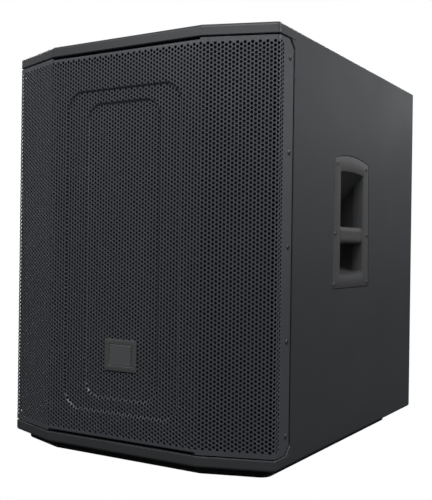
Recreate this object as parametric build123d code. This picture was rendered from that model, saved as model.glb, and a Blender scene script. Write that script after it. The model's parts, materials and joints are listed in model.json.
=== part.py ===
from build123d import *
import os
from math import cos, hypot, pi, radians, sin, sqrt, tan

# Powered subwoofer cabinet with an 18-inch driver.
# Millimetres. +Z up, +X to the cabinet's own right as seen from the front, and the front faces -Y.
# The origin is on the floor, under the middle of the cabinet's plan.

# ---- driving dimensions: cabinet ----
CAB_W = 532.0  # over the side panels
CAB_D = 688.0  # front facet to rear edge
CAB_H = 680.0  # over the top and bottom panels
WALL = 18.0  # plywood
FACET_W = 115.0  # each slanted front facet, measured across
FACET_D = 41.0  # how far it falls back
CORNER_R = 6.0  # upright corners
EDGE_R = 5.0  # outer edges of the top and bottom panels
LIP_CHAMFER = 1.2  # inner front edge of the top and bottom panels
SIDE_LIP_CHAMFER = 1.0  # front edge of the side panels, beside the flange
REAR_RECESS = 20.0  # rear panel set in from the rear edges
GAP = 0.3  # between pieces that must not touch
HOLE_GAP = 0.1  # screw shank to its hole, radial

# ---- grille ----
GRILLE_T = 1.5
GRILLE_LIP_GAP = 2.5  # grille edge to the top or bottom panel
FLANGE_BACK = 45.5  # side flange, from the corner back
FLANGE_CHAMFER = 14.0
FLANGE_GAP = 6.5  # flange to side panel
TAB_D = 12.0  # folded tabs on the middle facet's ends
TAB_RELIEF = 2.0  # middle facet shorter at each end
# pressed steps in the middle facet: half width, margins from the grille's lower and upper edges, radius
PAN1_HALF_W, PAN1_LOW, PAN1_HIGH, PAN1_R = 117.0, 42.5, 61.0, 35.0
PAN2_HALF_W, PAN2_LOW, PAN2_HIGH, PAN2_R = 75.0, 65.5, 83.5, 30.0
PAN_STEP = 3.0
CLOTH_T = 1.5
CLOTH_BACK = 8.2  # cloth face behind the grille face
CLOTH_MARGIN = 6.0
BADGE_W, BADGE_H, BADGE_T = 65.0, 52.5, 2.0
BADGE_RISE = 139.5  # centre, above the grille's lower edge
INSERT_W, INSERT_H, INSERT_T = 43.0, 34.5, 2.5
SIDE_SCREWS = 5
SIDE_SCREW_END = 28.5  # end screws from the grille's edges
SIDE_SCREW_SETBACK = 35.0  # behind the flange corner
SCREW_HEAD_R, SCREW_HEAD_H, SCREW_R = 4.0, 1.2, 1.9
HEAD_SINK = 1.8  # sunk screw heads

# ---- baffle ----
BAFFLE_SETBACK = 66.0  # baffle face behind the cabinet's front

# ---- side handles ----
HANDLE_Y = -6.5
HANDLE_RISE = 43.0  # plate centre above the cabinet's middle
PLATE_H = 226.0  # along its straight sides
PLATE_ARCH = 10.0
PLATE_TOP_W, PLATE_BOTTOM_W = 161.0, 173.0
PLATE_T = 3.5
PLATE_R = 5.0
PLATE_GAP = 1.2
CUP_W = 107.0
CUP_WALL = 3.0
CUP_DEPTH = 72.0
CUP_TOP, CUP_BOTTOM = 92.5, -89.0  # opening's ends from the plate centre
CUP_ARCH = 2.5
ROOF_DROP = 66.0
FLOOR_RISE = 17.0
BAR_Z0, BAR_Z1 = -35.0, -3.0
BAR_DEPTH = 28.0
BAR_R = 9.0
HANDLE_SCREW_SPOTS = ((70.0, 106.0), (75.0, -18.0), (78.0, -106.0))
WOOD_SCREW_L = 15.0

# ---- base skid ----
SKID_H = 13.0
SKID_INSET = 18.0
SKID_BAND = 42.0
SKID_REAR = 104.0  # before the rear edge
SKID_R = 20.0
SKID_SCREWS = 3  # each side
SKID_SCREW_FRONT, SKID_SCREW_BACK = 86.0, 80.0  # end screws from the skid's ends

# ---- pole socket ----
SOCKET_THREAD_R = 8.75  # tapping hole of an M20 thread
SOCKET_BOSS_R = 24.0
SOCKET_L = 40.0
SOCKET_FLANGE_R, SOCKET_FLANGE_T = 45.0, 4.0
SOCKET_PCD = 70.0
SOCKET_Y = -20.0

# ---- driver; heights run forward from the baffle face ----
DRIVER_DROP = 245.0  # centre below the top panel
GASKET_T = 2.0
DRIVER_R = 230.0
CUTOUT_R = 212.0
FLANGE_T = 9.0
BOLT_PCD = 440.0
BOLTS = 8
BOLT_R = 3.0
ROLL_R = 16.0
SURROUND_T = 1.5
CONE_RIM_R = 166.0
CONE_DEPTH = 71.7
CONE_T = 1.8
COIL_R = 53.0  # former, outside
COIL_T = 1.0
FORMER_END = -138.0
WINDING_T = 1.0
POLE_GAP = 0.6
CAP_R = 70.0
CAP_RISE = 18.0
CAP_T = 1.2
MAGNET_R = 105.0
SPIDER_Z = -80.0
SPIDER_SEAT_R = 100.0
PLATFORM_BORE_R = 60.0
BASKET_WALL = 7.0
PLATFORM_Z = -114.0
TOP_PLATE_T, MAGNET_T, BACK_PLATE_T = 8.0, 22.0, 10.0
VENT_R = 18.0

# ---- ports ----
PORT_R = 50.0
PORT_T = 3.0
PORT_L = 236.0
PORT_IN = 88.0  # centre in from the side panel
PORT_RISE = 74.0  # centre above the bottom panel
PORT_FLANGE = 16.0

# ---- brace ----
BRACE_BEHIND = 26.0  # behind the handle cups
BRACE_RIM = 52.0
BRACE_BAR = 44.0

# ---- amplifier module ----
AMP_W, AMP_H, AMP_T = 320.0, 430.0, 3.0
AMP_CUT_MARGIN = 18.0
HOUSING_DEPTH = 118.0
HOUSING_T = 1.5
HOUSING_GAP = 2.0
SINK_W, SINK_H, SINK_BASE, SINK_FIN = 280.0, 150.0, 4.0, 11.0
SINK_FINS = 24
SINK_Z = 118.0
FIN_T = 2.0
BOARD_T = 1.6
BOARD_INSET = 12.0
POST_L = 10.0
KNOB_R, KNOB_H = 8.0, 12.0
POT_R = 2.6
ENCODER_SHAFT_R = 3.0
RUN_GAP = 0.05
ENCODER_R, ENCODER_H, ENCODER_GAP = 11.0, 12.0, 1.5
JACK_R = 12.0
JACK_BORE = 3.25
JACK_DEPTH = 26.0
CONNECTOR_W, CONNECTOR_H, CONNECTOR_T = 26.0, 31.0, 2.0
XLR_R = 9.5
XLR_DEPTH = 18.0
PIN_R = 1.2
PIN_L = 11.0
INLET_W, INLET_H, INLET_DEPTH = 24.0, 16.5, 18.0
SWITCH_W, SWITCH_H, SWITCH_D = 13.0, 20.0, 12.0
ROCKER_GAP = 0.5
AMP_SCREW_R = 1.9

# ---- where things lie ----
HX = CAB_W / 2
FRONT = -CAB_D / 2
REAR = CAB_D / 2
Z0 = SKID_H
Z1 = Z0 + CAB_H
ZI0 = Z0 + WALL
ZI1 = Z1 - WALL
XI = HX - WALL
FACET_L = hypot(FACET_W, FACET_D)
CORNER_Y = FRONT + FACET_D
BAFFLE_F = FRONT + BAFFLE_SETBACK
BAFFLE_B = BAFFLE_F + WALL
BAFFLE_X = HX - GRILLE_T - GAP
FLANGE_END = CORNER_Y + FLANGE_BACK
SIDE_EDGE = FLANGE_END + FLANGE_GAP
REAR_F = REAR - REAR_RECESS
REAR_B = REAR_F - WALL
MID_Z = (ZI0 + ZI1) / 2
HANDLE_C = MID_Z + HANDLE_RISE
DRIVER_C = ZI1 - DRIVER_DROP
AMP_C = MID_Z
AMP_F = REAR_F + AMP_T
PORT_X, PORT_C = XI - PORT_IN, ZI0 + PORT_RISE
BRACE_Y = HANDLE_Y + CUP_W / 2 + CUP_WALL + BRACE_BEHIND
SCREW_Y = CORNER_Y + SIDE_SCREW_SETBACK
GRILLE_Z0, GRILLE_Z1 = ZI0 + GRILLE_LIP_GAP, ZI1 - GRILLE_LIP_GAP

DRIVER = Plane(origin=(0, BAFFLE_F, DRIVER_C), x_dir=(1, 0, 0), z_dir=(0, -1, 0))


def write(name, shape):
    """Writes one node's STEP file."""
    shape = Compound(children=shape.solids()) if len(shape.solids()) > 1 else shape.solids()[0]
    export_step(shape, f"parts/{name}.step")


def plan_corners(inset):
    """The two right-hand corners of the plan outline, moved in by inset."""
    s, c = FACET_D / FACET_L, FACET_W / FACET_L
    k = s * HX - c * CORNER_Y
    y_front, x_side = FRONT + inset, HX - inset
    return ((k - inset + c * y_front) / s, y_front), (x_side, (s * x_side - k + inset) / c)


def plan_face(inset, rear_y):
    """The cabinet's plan outline as a face, moved in by inset and ended at rear_y."""
    (xc, yc), (xd, yd) = plan_corners(inset)
    points = [(xc, yc), (xd, yd), (xd, rear_y), (-xd, rear_y), (-xd, yd), (-xc, yc)]
    return make_face(Polyline(*points, close=True))


def block(x0, x1, y0, y1, z0, z1):
    """A box given by its limits."""
    return Pos((x0 + x1) / 2, (y0 + y1) / 2, (z0 + z1) / 2) * Box(x1 - x0, y1 - y0, z1 - z0)


def rod(radius, start, end):
    """A cylinder between two points."""
    axis = Vector(*end) - Vector(*start)
    plane = Plane(origin=start, z_dir=axis)
    return extrude(plane * Circle(radius), axis.length)


def lathe(points):
    """A solid turned about Z from a closed outline of (radius, height) points."""
    return revolve(Plane.XZ * make_face(Polyline(*points, close=True)), Axis.Z)


def ring(r_in, r_out, z_low, z_high):
    """A flat ring about Z."""
    return lathe([(r_in, z_low), (r_out, z_low), (r_out, z_high), (r_in, z_high)])


def uprights(shape, radius, test):
    """Rounds the upright edges that pass the test."""
    edges = [e for e in shape.edges().filter_by(Axis.Z) if test(e.center())]
    return fillet(edges, radius)


def rounded(plane, width, height, radius, depth):
    """A rounded-corner slab on a plane."""
    return extrude(plane * RectangleRounded(width, height, radius), depth)


def screw(spot, direction, head_r, head_h, shank_r, length):
    """A screw whose head stands on spot, with the shank going in against direction."""
    out = Vector(*direction)
    spot = Vector(*spot)
    head = rod(head_r, tuple(spot), tuple(spot + out * head_h))
    recess = rod(head_r * 0.42, tuple(spot + out * head_h * 0.4), tuple(spot + out * (head_h + 1)))
    return head - recess + rod(shank_r, tuple(spot - out * length), tuple(spot))


def joined(shapes):
    """Separate solids as one compound."""
    return Compound(children=[solid for shape in shapes for solid in shape.solids()])


# ---- panels ----
def socket_spots():
    """The pole socket's screw places."""
    r = SOCKET_PCD / 2
    return [(r * cos(a), SOCKET_Y + r * sin(a)) for a in (pi / 4 + k * pi / 2 for k in range(4))]


def lip_edges(panel, z):
    """The front edges of a panel at one height."""
    return [e for e in panel.edges() if abs(e.center().Z - z) < 0.01 and e.center().Y < CORNER_Y + 1]


def end_panel(z_low, outer_z, inner_z):
    """The top or the bottom panel: full plan, outer edges rounded, inner front edge chamfered."""
    panel = extrude(Pos(0, 0, z_low) * plan_face(0, REAR), WALL)
    panel = uprights(panel, CORNER_R, lambda c: True)
    front = block(-HX - 1, HX + 1, FRONT - 1, SIDE_EDGE, z_low - 1, z_low + WALL + 1)
    lip = chamfer(lip_edges(panel, inner_z), LIP_CHAMFER) & front
    panel = panel - front + lip
    rim = [e for e in panel.edges() if abs(e.center().Z - outer_z) < 0.01]
    return fillet(rim, EDGE_R)


def top_panel():
    panel = end_panel(ZI1, Z1, ZI1)
    panel -= rod(SOCKET_BOSS_R + GAP, (0, SOCKET_Y, ZI1 - 1), (0, SOCKET_Y, Z1 + 1))
    panel -= rod(SOCKET_FLANGE_R + GAP, (0, SOCKET_Y, Z1 - SOCKET_FLANGE_T), (0, SOCKET_Y, Z1 + 1))
    for x, y in socket_spots():
        panel -= rod(SCREW_R + HOLE_GAP, (x, y, ZI1 - 1), (x, y, Z1))
    return panel


def skid_spots():
    """The skid's screw places, both sides."""
    x = HX - SKID_INSET - SKID_BAND / 2
    first, last = FRONT + SKID_INSET + SKID_SCREW_FRONT, REAR - SKID_REAR - SKID_SCREW_BACK
    pitch = (last - first) / (SKID_SCREWS - 1)
    return [(side * x, first + k * pitch) for side in (-1, 1) for k in range(SKID_SCREWS)]


def bottom_panel():
    panel = end_panel(Z0, Z0, ZI0)
    for x, y in skid_spots():
        panel -= rod(SCREW_R + HOLE_GAP, (x, y, Z0 - 1), (x, y, ZI0 - 3))
    return panel


def plate_face(grow):
    """The handle plate's outline on the side, grown all round: tapered, with an arched top."""
    half_top, half_bottom = PLATE_TOP_W / 2 + grow, PLATE_BOTTOM_W / 2 + grow
    low = HANDLE_C - PLATE_H / 2 - grow
    high = HANDLE_C + PLATE_H / 2 + grow
    sides = Polyline((-half_top, high), (-half_bottom, low), (half_bottom, low), (half_top, high))
    arch = ThreePointArc((half_top, high), (0, high + PLATE_ARCH), (-half_top, high))
    face = make_face(sides + arch)
    face = fillet(face.vertices(), PLATE_R + grow)
    return Plane.YZ * (Pos(HANDLE_Y, 0) * face)


def handle_spots():
    """The right handle's screw places as (y, z)."""
    return [(HANDLE_Y + side * y, HANDLE_C + z) for y, z in HANDLE_SCREW_SPOTS for side in (-1, 1)]


def side_screw_heights():
    """Heights of the flange screws."""
    first, last = GRILLE_Z0 + SIDE_SCREW_END, GRILLE_Z1 - SIDE_SCREW_END
    return [first + k * (last - first) / (SIDE_SCREWS - 1) for k in range(SIDE_SCREWS)]


def on_side_lip(spot):
    """Whether an edge's middle lies on the side panel's outer front edge."""
    outer = abs(spot.X - HX) < 0.01 and spot.Y < SIDE_EDGE + 0.01
    return outer and ZI0 + 0.01 < spot.Z < ZI1 - 0.01


def side_panel():
    """The right side panel: its front edge is rebated for the grille flange."""
    panel = block(XI, HX, BAFFLE_B, REAR, ZI0, ZI1)
    panel = uprights(panel, CORNER_R, lambda c: c.Y > REAR - 1 and c.X > HX - 1)
    lap = HX - BAFFLE_X
    panel -= block(HX - lap, HX + 1, BAFFLE_B - 1, SIDE_EDGE, ZI0 - 1, ZI1 + 1)
    for z, up in ((ZI0, 1), (ZI1, -1)):
        reach = FLANGE_CHAMFER
        corner = [(SIDE_EDGE, z), (SIDE_EDGE, z + up * reach), (SIDE_EDGE - reach, z)]
        gusset = Plane.YZ * make_face(Polyline(*corner, close=True))
        panel += extrude(Pos(HX - lap, 0, 0) * gusset, lap)
    panel = chamfer([e for e in panel.edges() if on_side_lip(e.center())], SIDE_LIP_CHAMFER)
    seat = Pos(HX - PLATE_T, 0, 0) * plate_face(PLATE_GAP)
    panel -= extrude(seat, PLATE_T + 1)
    half = CUP_W / 2 + CUP_WALL + 1
    low, high = HANDLE_C + CUP_BOTTOM - CUP_WALL - 2, HANDLE_C + CUP_TOP + CUP_WALL + 2
    panel -= block(XI - 1, HX, HANDLE_Y - half, HANDLE_Y + half, low, high)
    for y, z in handle_spots():
        panel -= rod(SCREW_R + HOLE_GAP, (XI - 1, y, z), (HX, y, z))
    return panel


def rear_panel():
    panel = block(-XI, XI, REAR_B, REAR_F, ZI0, ZI1)
    half_w, half_h = AMP_W / 2 - AMP_CUT_MARGIN, AMP_H / 2 - AMP_CUT_MARGIN
    panel -= block(-half_w, half_w, REAR_B - 1, REAR_F + 1, AMP_C - half_h, AMP_C + half_h)
    for x, z in amp_screw_spots():
        panel -= rod(AMP_SCREW_R + HOLE_GAP, (x, REAR_B - 1, z), (x, REAR_F + 1, z))
    return panel


def bolt_spots():
    """The driver bolts' places in the driver's own frame."""
    r = BOLT_PCD / 2
    return [(r * cos(a), r * sin(a)) for a in (pi / BOLTS + 2 * pi * k / BOLTS for k in range(BOLTS))]


def baffle():
    board = block(-BAFFLE_X, BAFFLE_X, BAFFLE_F, BAFFLE_B, ZI0, ZI1)
    board -= DRIVER.location * rod(CUTOUT_R, (0, 0, -WALL - 1), (0, 0, 1))
    for x, y in bolt_spots():
        board -= DRIVER.location * rod(BOLT_R + HOLE_GAP, (x, y, -WALL - 1), (x, y, 1))
    for side in (-1, 1):
        x = side * PORT_X
        board -= rod(PORT_R + PORT_T + HOLE_GAP, (x, BAFFLE_F - 1, PORT_C), (x, BAFFLE_B + 1, PORT_C))
        for z in side_screw_heights():
            tip = side * (BAFFLE_X - SCREW_HEAD_R * 4)
            board -= rod(SCREW_R + HOLE_GAP, (tip, SCREW_Y, z), (side * HX, SCREW_Y, z))
    return board


def window_brace():
    """An upright frame across the cabinet behind the driver, with four windows."""
    brace = block(-XI, XI, BRACE_Y, BRACE_Y + WALL, ZI0, ZI1)
    half = BRACE_BAR / 2
    for x0, x1 in ((-XI + BRACE_RIM, -half), (half, XI - BRACE_RIM)):
        for z0, z1 in ((ZI0 + BRACE_RIM, MID_Z - half), (MID_Z + half, ZI1 - BRACE_RIM)):
            window = block(x0, x1, BRACE_Y - 1, BRACE_Y + WALL + 1, z0, z1)
            brace -= fillet(window.edges().filter_by(Axis.Y), CORNER_R * 4)
    reach = LEAD_SLOT / 2
    return brace - block(-reach, reach, BRACE_Y - 1, BRACE_Y + WALL + 1, LEAD_LOW - reach, LEAD_LOW + reach)


# ---- grille ----
def pan_slab(size, shrink, y, depth):
    """A rounded slab on the middle facet, from y back by depth. size is a step's four values."""
    half_w, low, high, radius = size
    z_low, z_high = GRILLE_Z0 + low + shrink, GRILLE_Z1 - high - shrink
    plane = Plane(origin=(0, y, (z_low + z_high) / 2), x_dir=(1, 0, 0), z_dir=(0, 1, 0))
    return rounded(plane, 2 * (half_w - shrink), z_high - z_low, radius - shrink, depth)


def pan(size, y):
    """A pressed tray: its walls and floor, one sheet thick."""
    return pan_slab(size, 0, y, PAN_STEP + GRILLE_T) - pan_slab(size, GRILLE_T, y, PAN_STEP)


def grille():
    """The folded grille: three facets, two side flanges, a two-step pressed panel and end tabs."""
    height = GRILLE_Z1 - GRILLE_Z0
    outer = extrude(Pos(0, 0, GRILLE_Z0) * plan_face(0, FLANGE_END), height)
    outer = uprights(outer, CORNER_R, lambda c: c.Y < CORNER_Y + 2)
    inner = extrude(Pos(0, 0, GRILLE_Z0 - 1) * plan_face(GRILLE_T, FLANGE_END + 1), height + 2)
    inner = uprights(inner, CORNER_R - GRILLE_T, lambda c: c.Y < CORNER_Y + 4)
    sheet = outer - inner
    for z, up in ((GRILLE_Z0, 1), (GRILLE_Z1, -1)):
        reach = FLANGE_CHAMFER
        corner = [(FLANGE_END + 1, z - up), (FLANGE_END + 1, z + up * reach), (FLANGE_END - reach, z - up)]
        cutter = Plane.YZ * make_face(Polyline(*corner, close=True))
        sheet -= extrude(cutter, HX + 1, both=True)
    for z in side_screw_heights():
        sheet -= rod(SCREW_R + HOLE_GAP, (-HX - 1, SCREW_Y, z), (HX + 1, SCREW_Y, z))
    tab_x = plan_corners(GRILLE_T)[0][0] - TAB_RELIEF
    for z, up in ((GRILLE_Z0, 1), (GRILLE_Z1, -1)):
        edge = z + up * TAB_RELIEF
        low, high = min(z - up, edge), max(z - up, edge)
        sheet -= block(-tab_x, tab_x, FRONT - 1, FRONT + GRILLE_T + 1, low, high)
        low, high = min(edge, edge + up * GRILLE_T), max(edge, edge + up * GRILLE_T)
        sheet += block(-tab_x, tab_x, FRONT, FRONT + TAB_D, low, high)
    step1 = (PAN1_HALF_W, PAN1_LOW, PAN1_HIGH, PAN1_R)
    step2 = (PAN2_HALF_W, PAN2_LOW, PAN2_HIGH, PAN2_R)
    sheet -= pan_slab(step1, 0, FRONT - 1, GRILLE_T + 2)
    tray = pan(step1, FRONT) - pan_slab(step2, 0, FRONT, PAN_STEP + GRILLE_T + 1)
    return sheet + tray + pan(step2, FRONT + PAN_STEP)


def grille_cloth():
    """Black cloth stretched behind the grille's three facets."""
    (xc, yc), (xd, yd) = plan_corners(CLOTH_BACK)
    (xe, ye), (xf, yf) = plan_corners(CLOTH_BACK + CLOTH_T)
    outline = [(-xd, yd), (-xc, yc), (xc, yc), (xd, yd), (xf, yf), (xe, ye), (-xe, ye), (-xf, yf)]
    face = make_face(Polyline(*outline, close=True))
    low, high = GRILLE_Z0 + CLOTH_MARGIN, GRILLE_Z1 - CLOTH_MARGIN
    return extrude(Pos(0, 0, low) * face, high - low)


def badge_plate():
    """A plain plate with no marking, on the pressed panel's floor."""
    y = FRONT + 2 * PAN_STEP
    plane = Plane(origin=(0, y, GRILLE_Z0 + BADGE_RISE), x_dir=(1, 0, 0), z_dir=(0, -1, 0))
    plate = rounded(plane, BADGE_W, BADGE_H, 3, BADGE_T)
    return chamfer(plate.faces().sort_by(Axis.Y)[0].edges(), 0.6)


def badge_insert():
    """A plain raised block on the badge plate."""
    y = FRONT + 2 * PAN_STEP - BADGE_T
    plane = Plane(origin=(0, y, GRILLE_Z0 + BADGE_RISE), x_dir=(1, 0, 0), z_dir=(0, -1, 0))
    plate = rounded(plane, INSERT_W, INSERT_H, 2, INSERT_T)
    return chamfer(plate.faces().sort_by(Axis.Y)[0].edges(), 0.8)


def grille_screws():
    made = []
    for side in (-1, 1):
        for z in side_screw_heights():
            spot = (side * HX, SCREW_Y, z)
            made.append(screw(spot, (side, 0, 0), SCREW_HEAD_R, SCREW_HEAD_H, SCREW_R, SCREW_HEAD_R * 3))
    return joined(made)


# ---- handles ----
def cup_profile(grow):
    """The pocket's upright section as (x, z) points, grown by the wall."""
    low, high = HANDLE_C + CUP_BOTTOM, HANDLE_C + CUP_TOP
    mouth, back = HX - PLATE_T, HX - CUP_DEPTH - grow
    return [
        (mouth, low - grow),
        (mouth, high + grow),
        (back, high + grow - ROOF_DROP),
        (back, low - grow + FLOOR_RISE),
    ]


def cup_body(grow):
    """The pocket as a solid, straight between its two side walls."""
    face = Plane.XZ * make_face(Polyline(*cup_profile(grow), close=True))
    return Pos(0, HANDLE_Y, 0) * extrude(face, CUP_W / 2 + grow, both=True)


def mouth_face():
    """The pocket's mouth on the plate, bowed at its top and bottom."""
    half, low, high = CUP_W / 2, HANDLE_C + CUP_BOTTOM, HANDLE_C + CUP_TOP
    sides = [Line((-half, high), (-half, low)), Line((half, low), (half, high))]
    bows = [
        ThreePointArc((-half, low), (0, low - CUP_ARCH), (half, low)),
        ThreePointArc((half, high), (0, high + CUP_ARCH), (-half, high)),
    ]
    return Plane.YZ * (Pos(HANDLE_Y, 0) * make_face(sides + bows))


def handle_cup():
    """The right handle: a moulded pocket with a flush plate."""
    plate = extrude(Pos(HX - PLATE_T, 0, 0) * plate_face(0), PLATE_T)
    cup = plate + cup_body(CUP_WALL)
    cup -= cup_body(0)
    cup -= extrude(Pos(HX - PLATE_T - 0.01, 0, 0) * mouth_face(), PLATE_T + 1)
    for y, z in handle_spots():
        cup -= rod(SCREW_R + HOLE_GAP, (HX - PLATE_T - 1, y, z), (HX + 1, y, z))
        cup -= rod(SCREW_HEAD_R + GAP, (HX - HEAD_SINK, y, z), (HX + 1, y, z))
    return cup


def handle_bar():
    """The right grip bar, across the pocket's mouth between its side walls."""
    half = CUP_W / 2
    bar = block(HX - BAR_DEPTH, HX, HANDLE_Y - half, HANDLE_Y + half, HANDLE_C + BAR_Z0, HANDLE_C + BAR_Z1)
    inner = [e for e in bar.edges().filter_by(Axis.Y) if e.center().X < HX - 1]
    bar = fillet(inner, BAR_R)
    outer = [e for e in bar.edges().filter_by(Axis.Y) if e.center().X > HX - 1]
    return fillet(outer, BAR_R / 3)


def wood_screws():
    """The alike screws that hold both handles, the skid and the pole socket."""
    depth = HEAD_SINK
    seats = [((side * (HX - depth), y, z), (side, 0, 0)) for side in (-1, 1) for y, z in handle_spots()]
    seats += [((x, y, SKID_H / 2), (0, 0, -1)) for x, y in skid_spots()]
    seats += [((x, y, Z1 - depth), (0, 0, 1)) for x, y in socket_spots()]
    made = [screw(spot, way, SCREW_HEAD_R, SCREW_HEAD_H, SCREW_R, WOOD_SCREW_L) for spot, way in seats]
    return joined(made)


# ---- base and pole socket ----
def base_skid():
    """A moulded frame under the cabinet that it stands on."""
    rear = REAR - SKID_REAR
    outer = extrude(plan_face(SKID_INSET, rear), SKID_H)
    outer = uprights(outer, SKID_R, lambda c: True)
    inner = extrude(plan_face(SKID_INSET + SKID_BAND, rear - SKID_BAND), SKID_H)
    inner = uprights(inner, SKID_R / 2, lambda c: True)
    skid = outer - inner
    foot = [e for e in skid.edges() if abs(e.center().Z) < 0.01]
    skid = chamfer(foot, 1.5)
    for x, y in skid_spots():
        skid -= rod(SCREW_R + HOLE_GAP, (x, y, -1), (x, y, SKID_H + 1))
        skid -= rod(SCREW_HEAD_R + GAP, (x, y, -1), (x, y, SKID_H / 2))
    return skid


def pole_socket():
    """A flanged steel socket for a screwed speaker pole."""
    socket = rod(SOCKET_BOSS_R, (0, SOCKET_Y, Z1 - SOCKET_L), (0, SOCKET_Y, Z1))
    socket += rod(SOCKET_FLANGE_R, (0, SOCKET_Y, Z1 - SOCKET_FLANGE_T), (0, SOCKET_Y, Z1))
    socket -= rod(SOCKET_THREAD_R, (0, SOCKET_Y, Z1 - SOCKET_L - 1), (0, SOCKET_Y, Z1 + 1))
    for x, y in socket_spots():
        socket -= rod(SCREW_R + HOLE_GAP, (x, y, Z1 - SOCKET_FLANGE_T - 1), (x, y, Z1 + 1))
        socket -= rod(SCREW_HEAD_R + GAP, (x, y, Z1 - HEAD_SINK), (x, y, Z1 + 1))
    return socket


def port_tube(side):
    """A reflex port: a tube with a rounded mouth flange on the baffle's face."""
    wall, flare = PORT_R + PORT_T, PORT_FLANGE
    outline = [
        (PORT_R, -PORT_L),
        (wall, -PORT_L),
        (wall, 0),
        (wall + flare, 0),
        (wall + flare, 2),
        (wall + flare / 2, 5),
        (wall, 5),
        (PORT_R, 0),
    ]
    plane = Plane(origin=(side * PORT_X, BAFFLE_F, PORT_C), x_dir=(1, 0, 0), z_dir=(0, -1, 0))
    return plane.location * lathe(outline)


# ---- driver, in its own frame: heights run forward from the baffle face ----
FLANGE_Z = GASKET_T + FLANGE_T
ROLL_MID = CONE_RIM_R + ROLL_R
ROLL_OUT = ROLL_MID + ROLL_R
CONE_SLOPE = CONE_DEPTH / (CONE_RIM_R - 9 - COIL_R)
CONE_TOP = FLANGE_Z - GAP
BELOW_PLATE = PLATFORM_Z - 6.0
TERMINAL_R = SPIDER_SEAT_R + 9 + GAP


def driver_gasket():
    gasket = ring(CUTOUT_R, DRIVER_R - 1, 0, GASKET_T)
    for x, y in bolt_spots():
        gasket -= rod(BOLT_R + HOLE_GAP, (x, y, -1), (x, y, GASKET_T + 1))
    return DRIVER.location * gasket


def driver_basket():
    """The cast frame: a flange, a wall with eight windows and a platform for the magnet."""
    wall, inner, seat = BASKET_WALL, ROLL_OUT - 2, SPIDER_SEAT_R
    outline = [
        (DRIVER_R, GASKET_T),
        (DRIVER_R, FLANGE_Z),
        (inner, FLANGE_Z),
        (inner, -4),
        (seat + 16, SPIDER_Z),
        (seat + 12, SPIDER_Z - 4),
        (seat, SPIDER_Z - 4),
        (seat, SPIDER_Z - 8),
        (seat + 4, SPIDER_Z - 12),
        (seat + 4, PLATFORM_Z),
        (PLATFORM_BORE_R, PLATFORM_Z),
        (PLATFORM_BORE_R, BELOW_PLATE),
        (seat + 9, BELOW_PLATE),
        (seat + 9, SPIDER_Z - 10),
        (inner + wall, -4),
        (inner + wall, GASKET_T),
    ]
    basket = lathe(outline)
    reach, half = DRIVER_R, radians(14)
    for k in range(BOLTS):
        a = 2 * pi * k / BOLTS
        near = seat + 13
        sides = ((near, -1), (reach, -1), (reach, 1), (near, 1))
        corners = [(r * cos(a + s * half), r * sin(a + s * half)) for r, s in sides]
        face = make_face(Polyline(*corners, close=True))
        basket -= extrude(Pos(0, 0, SPIDER_Z + 4) * face, -SPIDER_Z - 4 - 12)
    for x, y in bolt_spots():
        basket -= rod(BOLT_R + HOLE_GAP, (x, y, -1), (x, y, FLANGE_Z + 1))
    return DRIVER.location * basket


def surround():
    """The half-roll edge of the cone."""
    z, t, lip = FLANGE_Z, SURROUND_T, 8.0
    outer = ThreePointArc((ROLL_OUT, z), (ROLL_MID, z + ROLL_R), (CONE_RIM_R, z))
    inner = ThreePointArc((CONE_RIM_R + t, z), (ROLL_MID, z + ROLL_R - t), (ROLL_OUT - t, z))
    ends = [Line((CONE_RIM_R, z), (CONE_RIM_R + t, z)), Line((ROLL_OUT - t, z), (ROLL_OUT, z))]
    roll = make_face([outer, ends[0], inner, ends[1]])
    made = revolve(Plane.XZ * roll, Axis.Z)
    made += ring(ROLL_OUT - t, ROLL_OUT + lip, z, z + t)
    made += ring(CONE_RIM_R - lip, CONE_RIM_R + t, z, z + t)
    return DRIVER.location * made


def cone():
    rim = CONE_RIM_R - 9
    low = CONE_TOP - CONE_DEPTH
    outline = [
        (CONE_RIM_R, CONE_TOP),
        (rim, CONE_TOP),
        (COIL_R, low),
        (COIL_R, low - CONE_T),
        (rim, CONE_TOP - CONE_T),
        (CONE_RIM_R, CONE_TOP - CONE_T),
    ]
    return DRIVER.location * lathe(outline)


def dust_cap():
    """A domed cap on the cone, part of a thin sphere."""
    ball = (CAP_R**2 + CAP_RISE**2) / (2 * CAP_RISE)
    rim = sqrt((ball + CAP_T) ** 2 - (ball - CAP_RISE) ** 2)
    z = CONE_TOP - CONE_DEPTH + (rim - COIL_R) * CONE_SLOPE + GAP
    shell = Sphere(ball + CAP_T) - Sphere(ball)
    cap = Pos(0, 0, z + CAP_RISE - ball) * shell & block(-ball, ball, -ball, ball, z, z + ball)
    return DRIVER.location * cap


def voice_coil():
    """The former with its winding."""
    top = CONE_TOP - CONE_DEPTH + 6
    former = ring(COIL_R - COIL_T, COIL_R, FORMER_END, top - 6)
    winding = ring(COIL_R, COIL_R + WINDING_T, FORMER_END + 2, FORMER_END + 24)
    return DRIVER.location * (former + winding)


def spider():
    """The corrugated centring disc behind the cone."""
    start, end, waves, t = COIL_R + GAP, SPIDER_SEAT_R + 11, 5, 1.2
    pitch = (end - 10 - start) / waves
    crest = [(start + pitch * k / 2, SPIDER_Z - 4 + (3.0 if k % 2 else 0.0)) for k in range(2 * waves + 1)]
    upper = [(r, z + t) for r, z in crest] + [(end, SPIDER_Z - 4 + t)]
    return DRIVER.location * lathe(crest + [(end, SPIDER_Z - 4)] + upper[::-1])


def top_plate():
    low = BELOW_PLATE - TOP_PLATE_T
    return DRIVER.location * ring(COIL_R + WINDING_T + POLE_GAP, MAGNET_R - 4, low, BELOW_PLATE)


def magnet_ring():
    high = BELOW_PLATE - TOP_PLATE_T
    return DRIVER.location * ring(COIL_R + 9, MAGNET_R, high - MAGNET_T, high)


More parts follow.
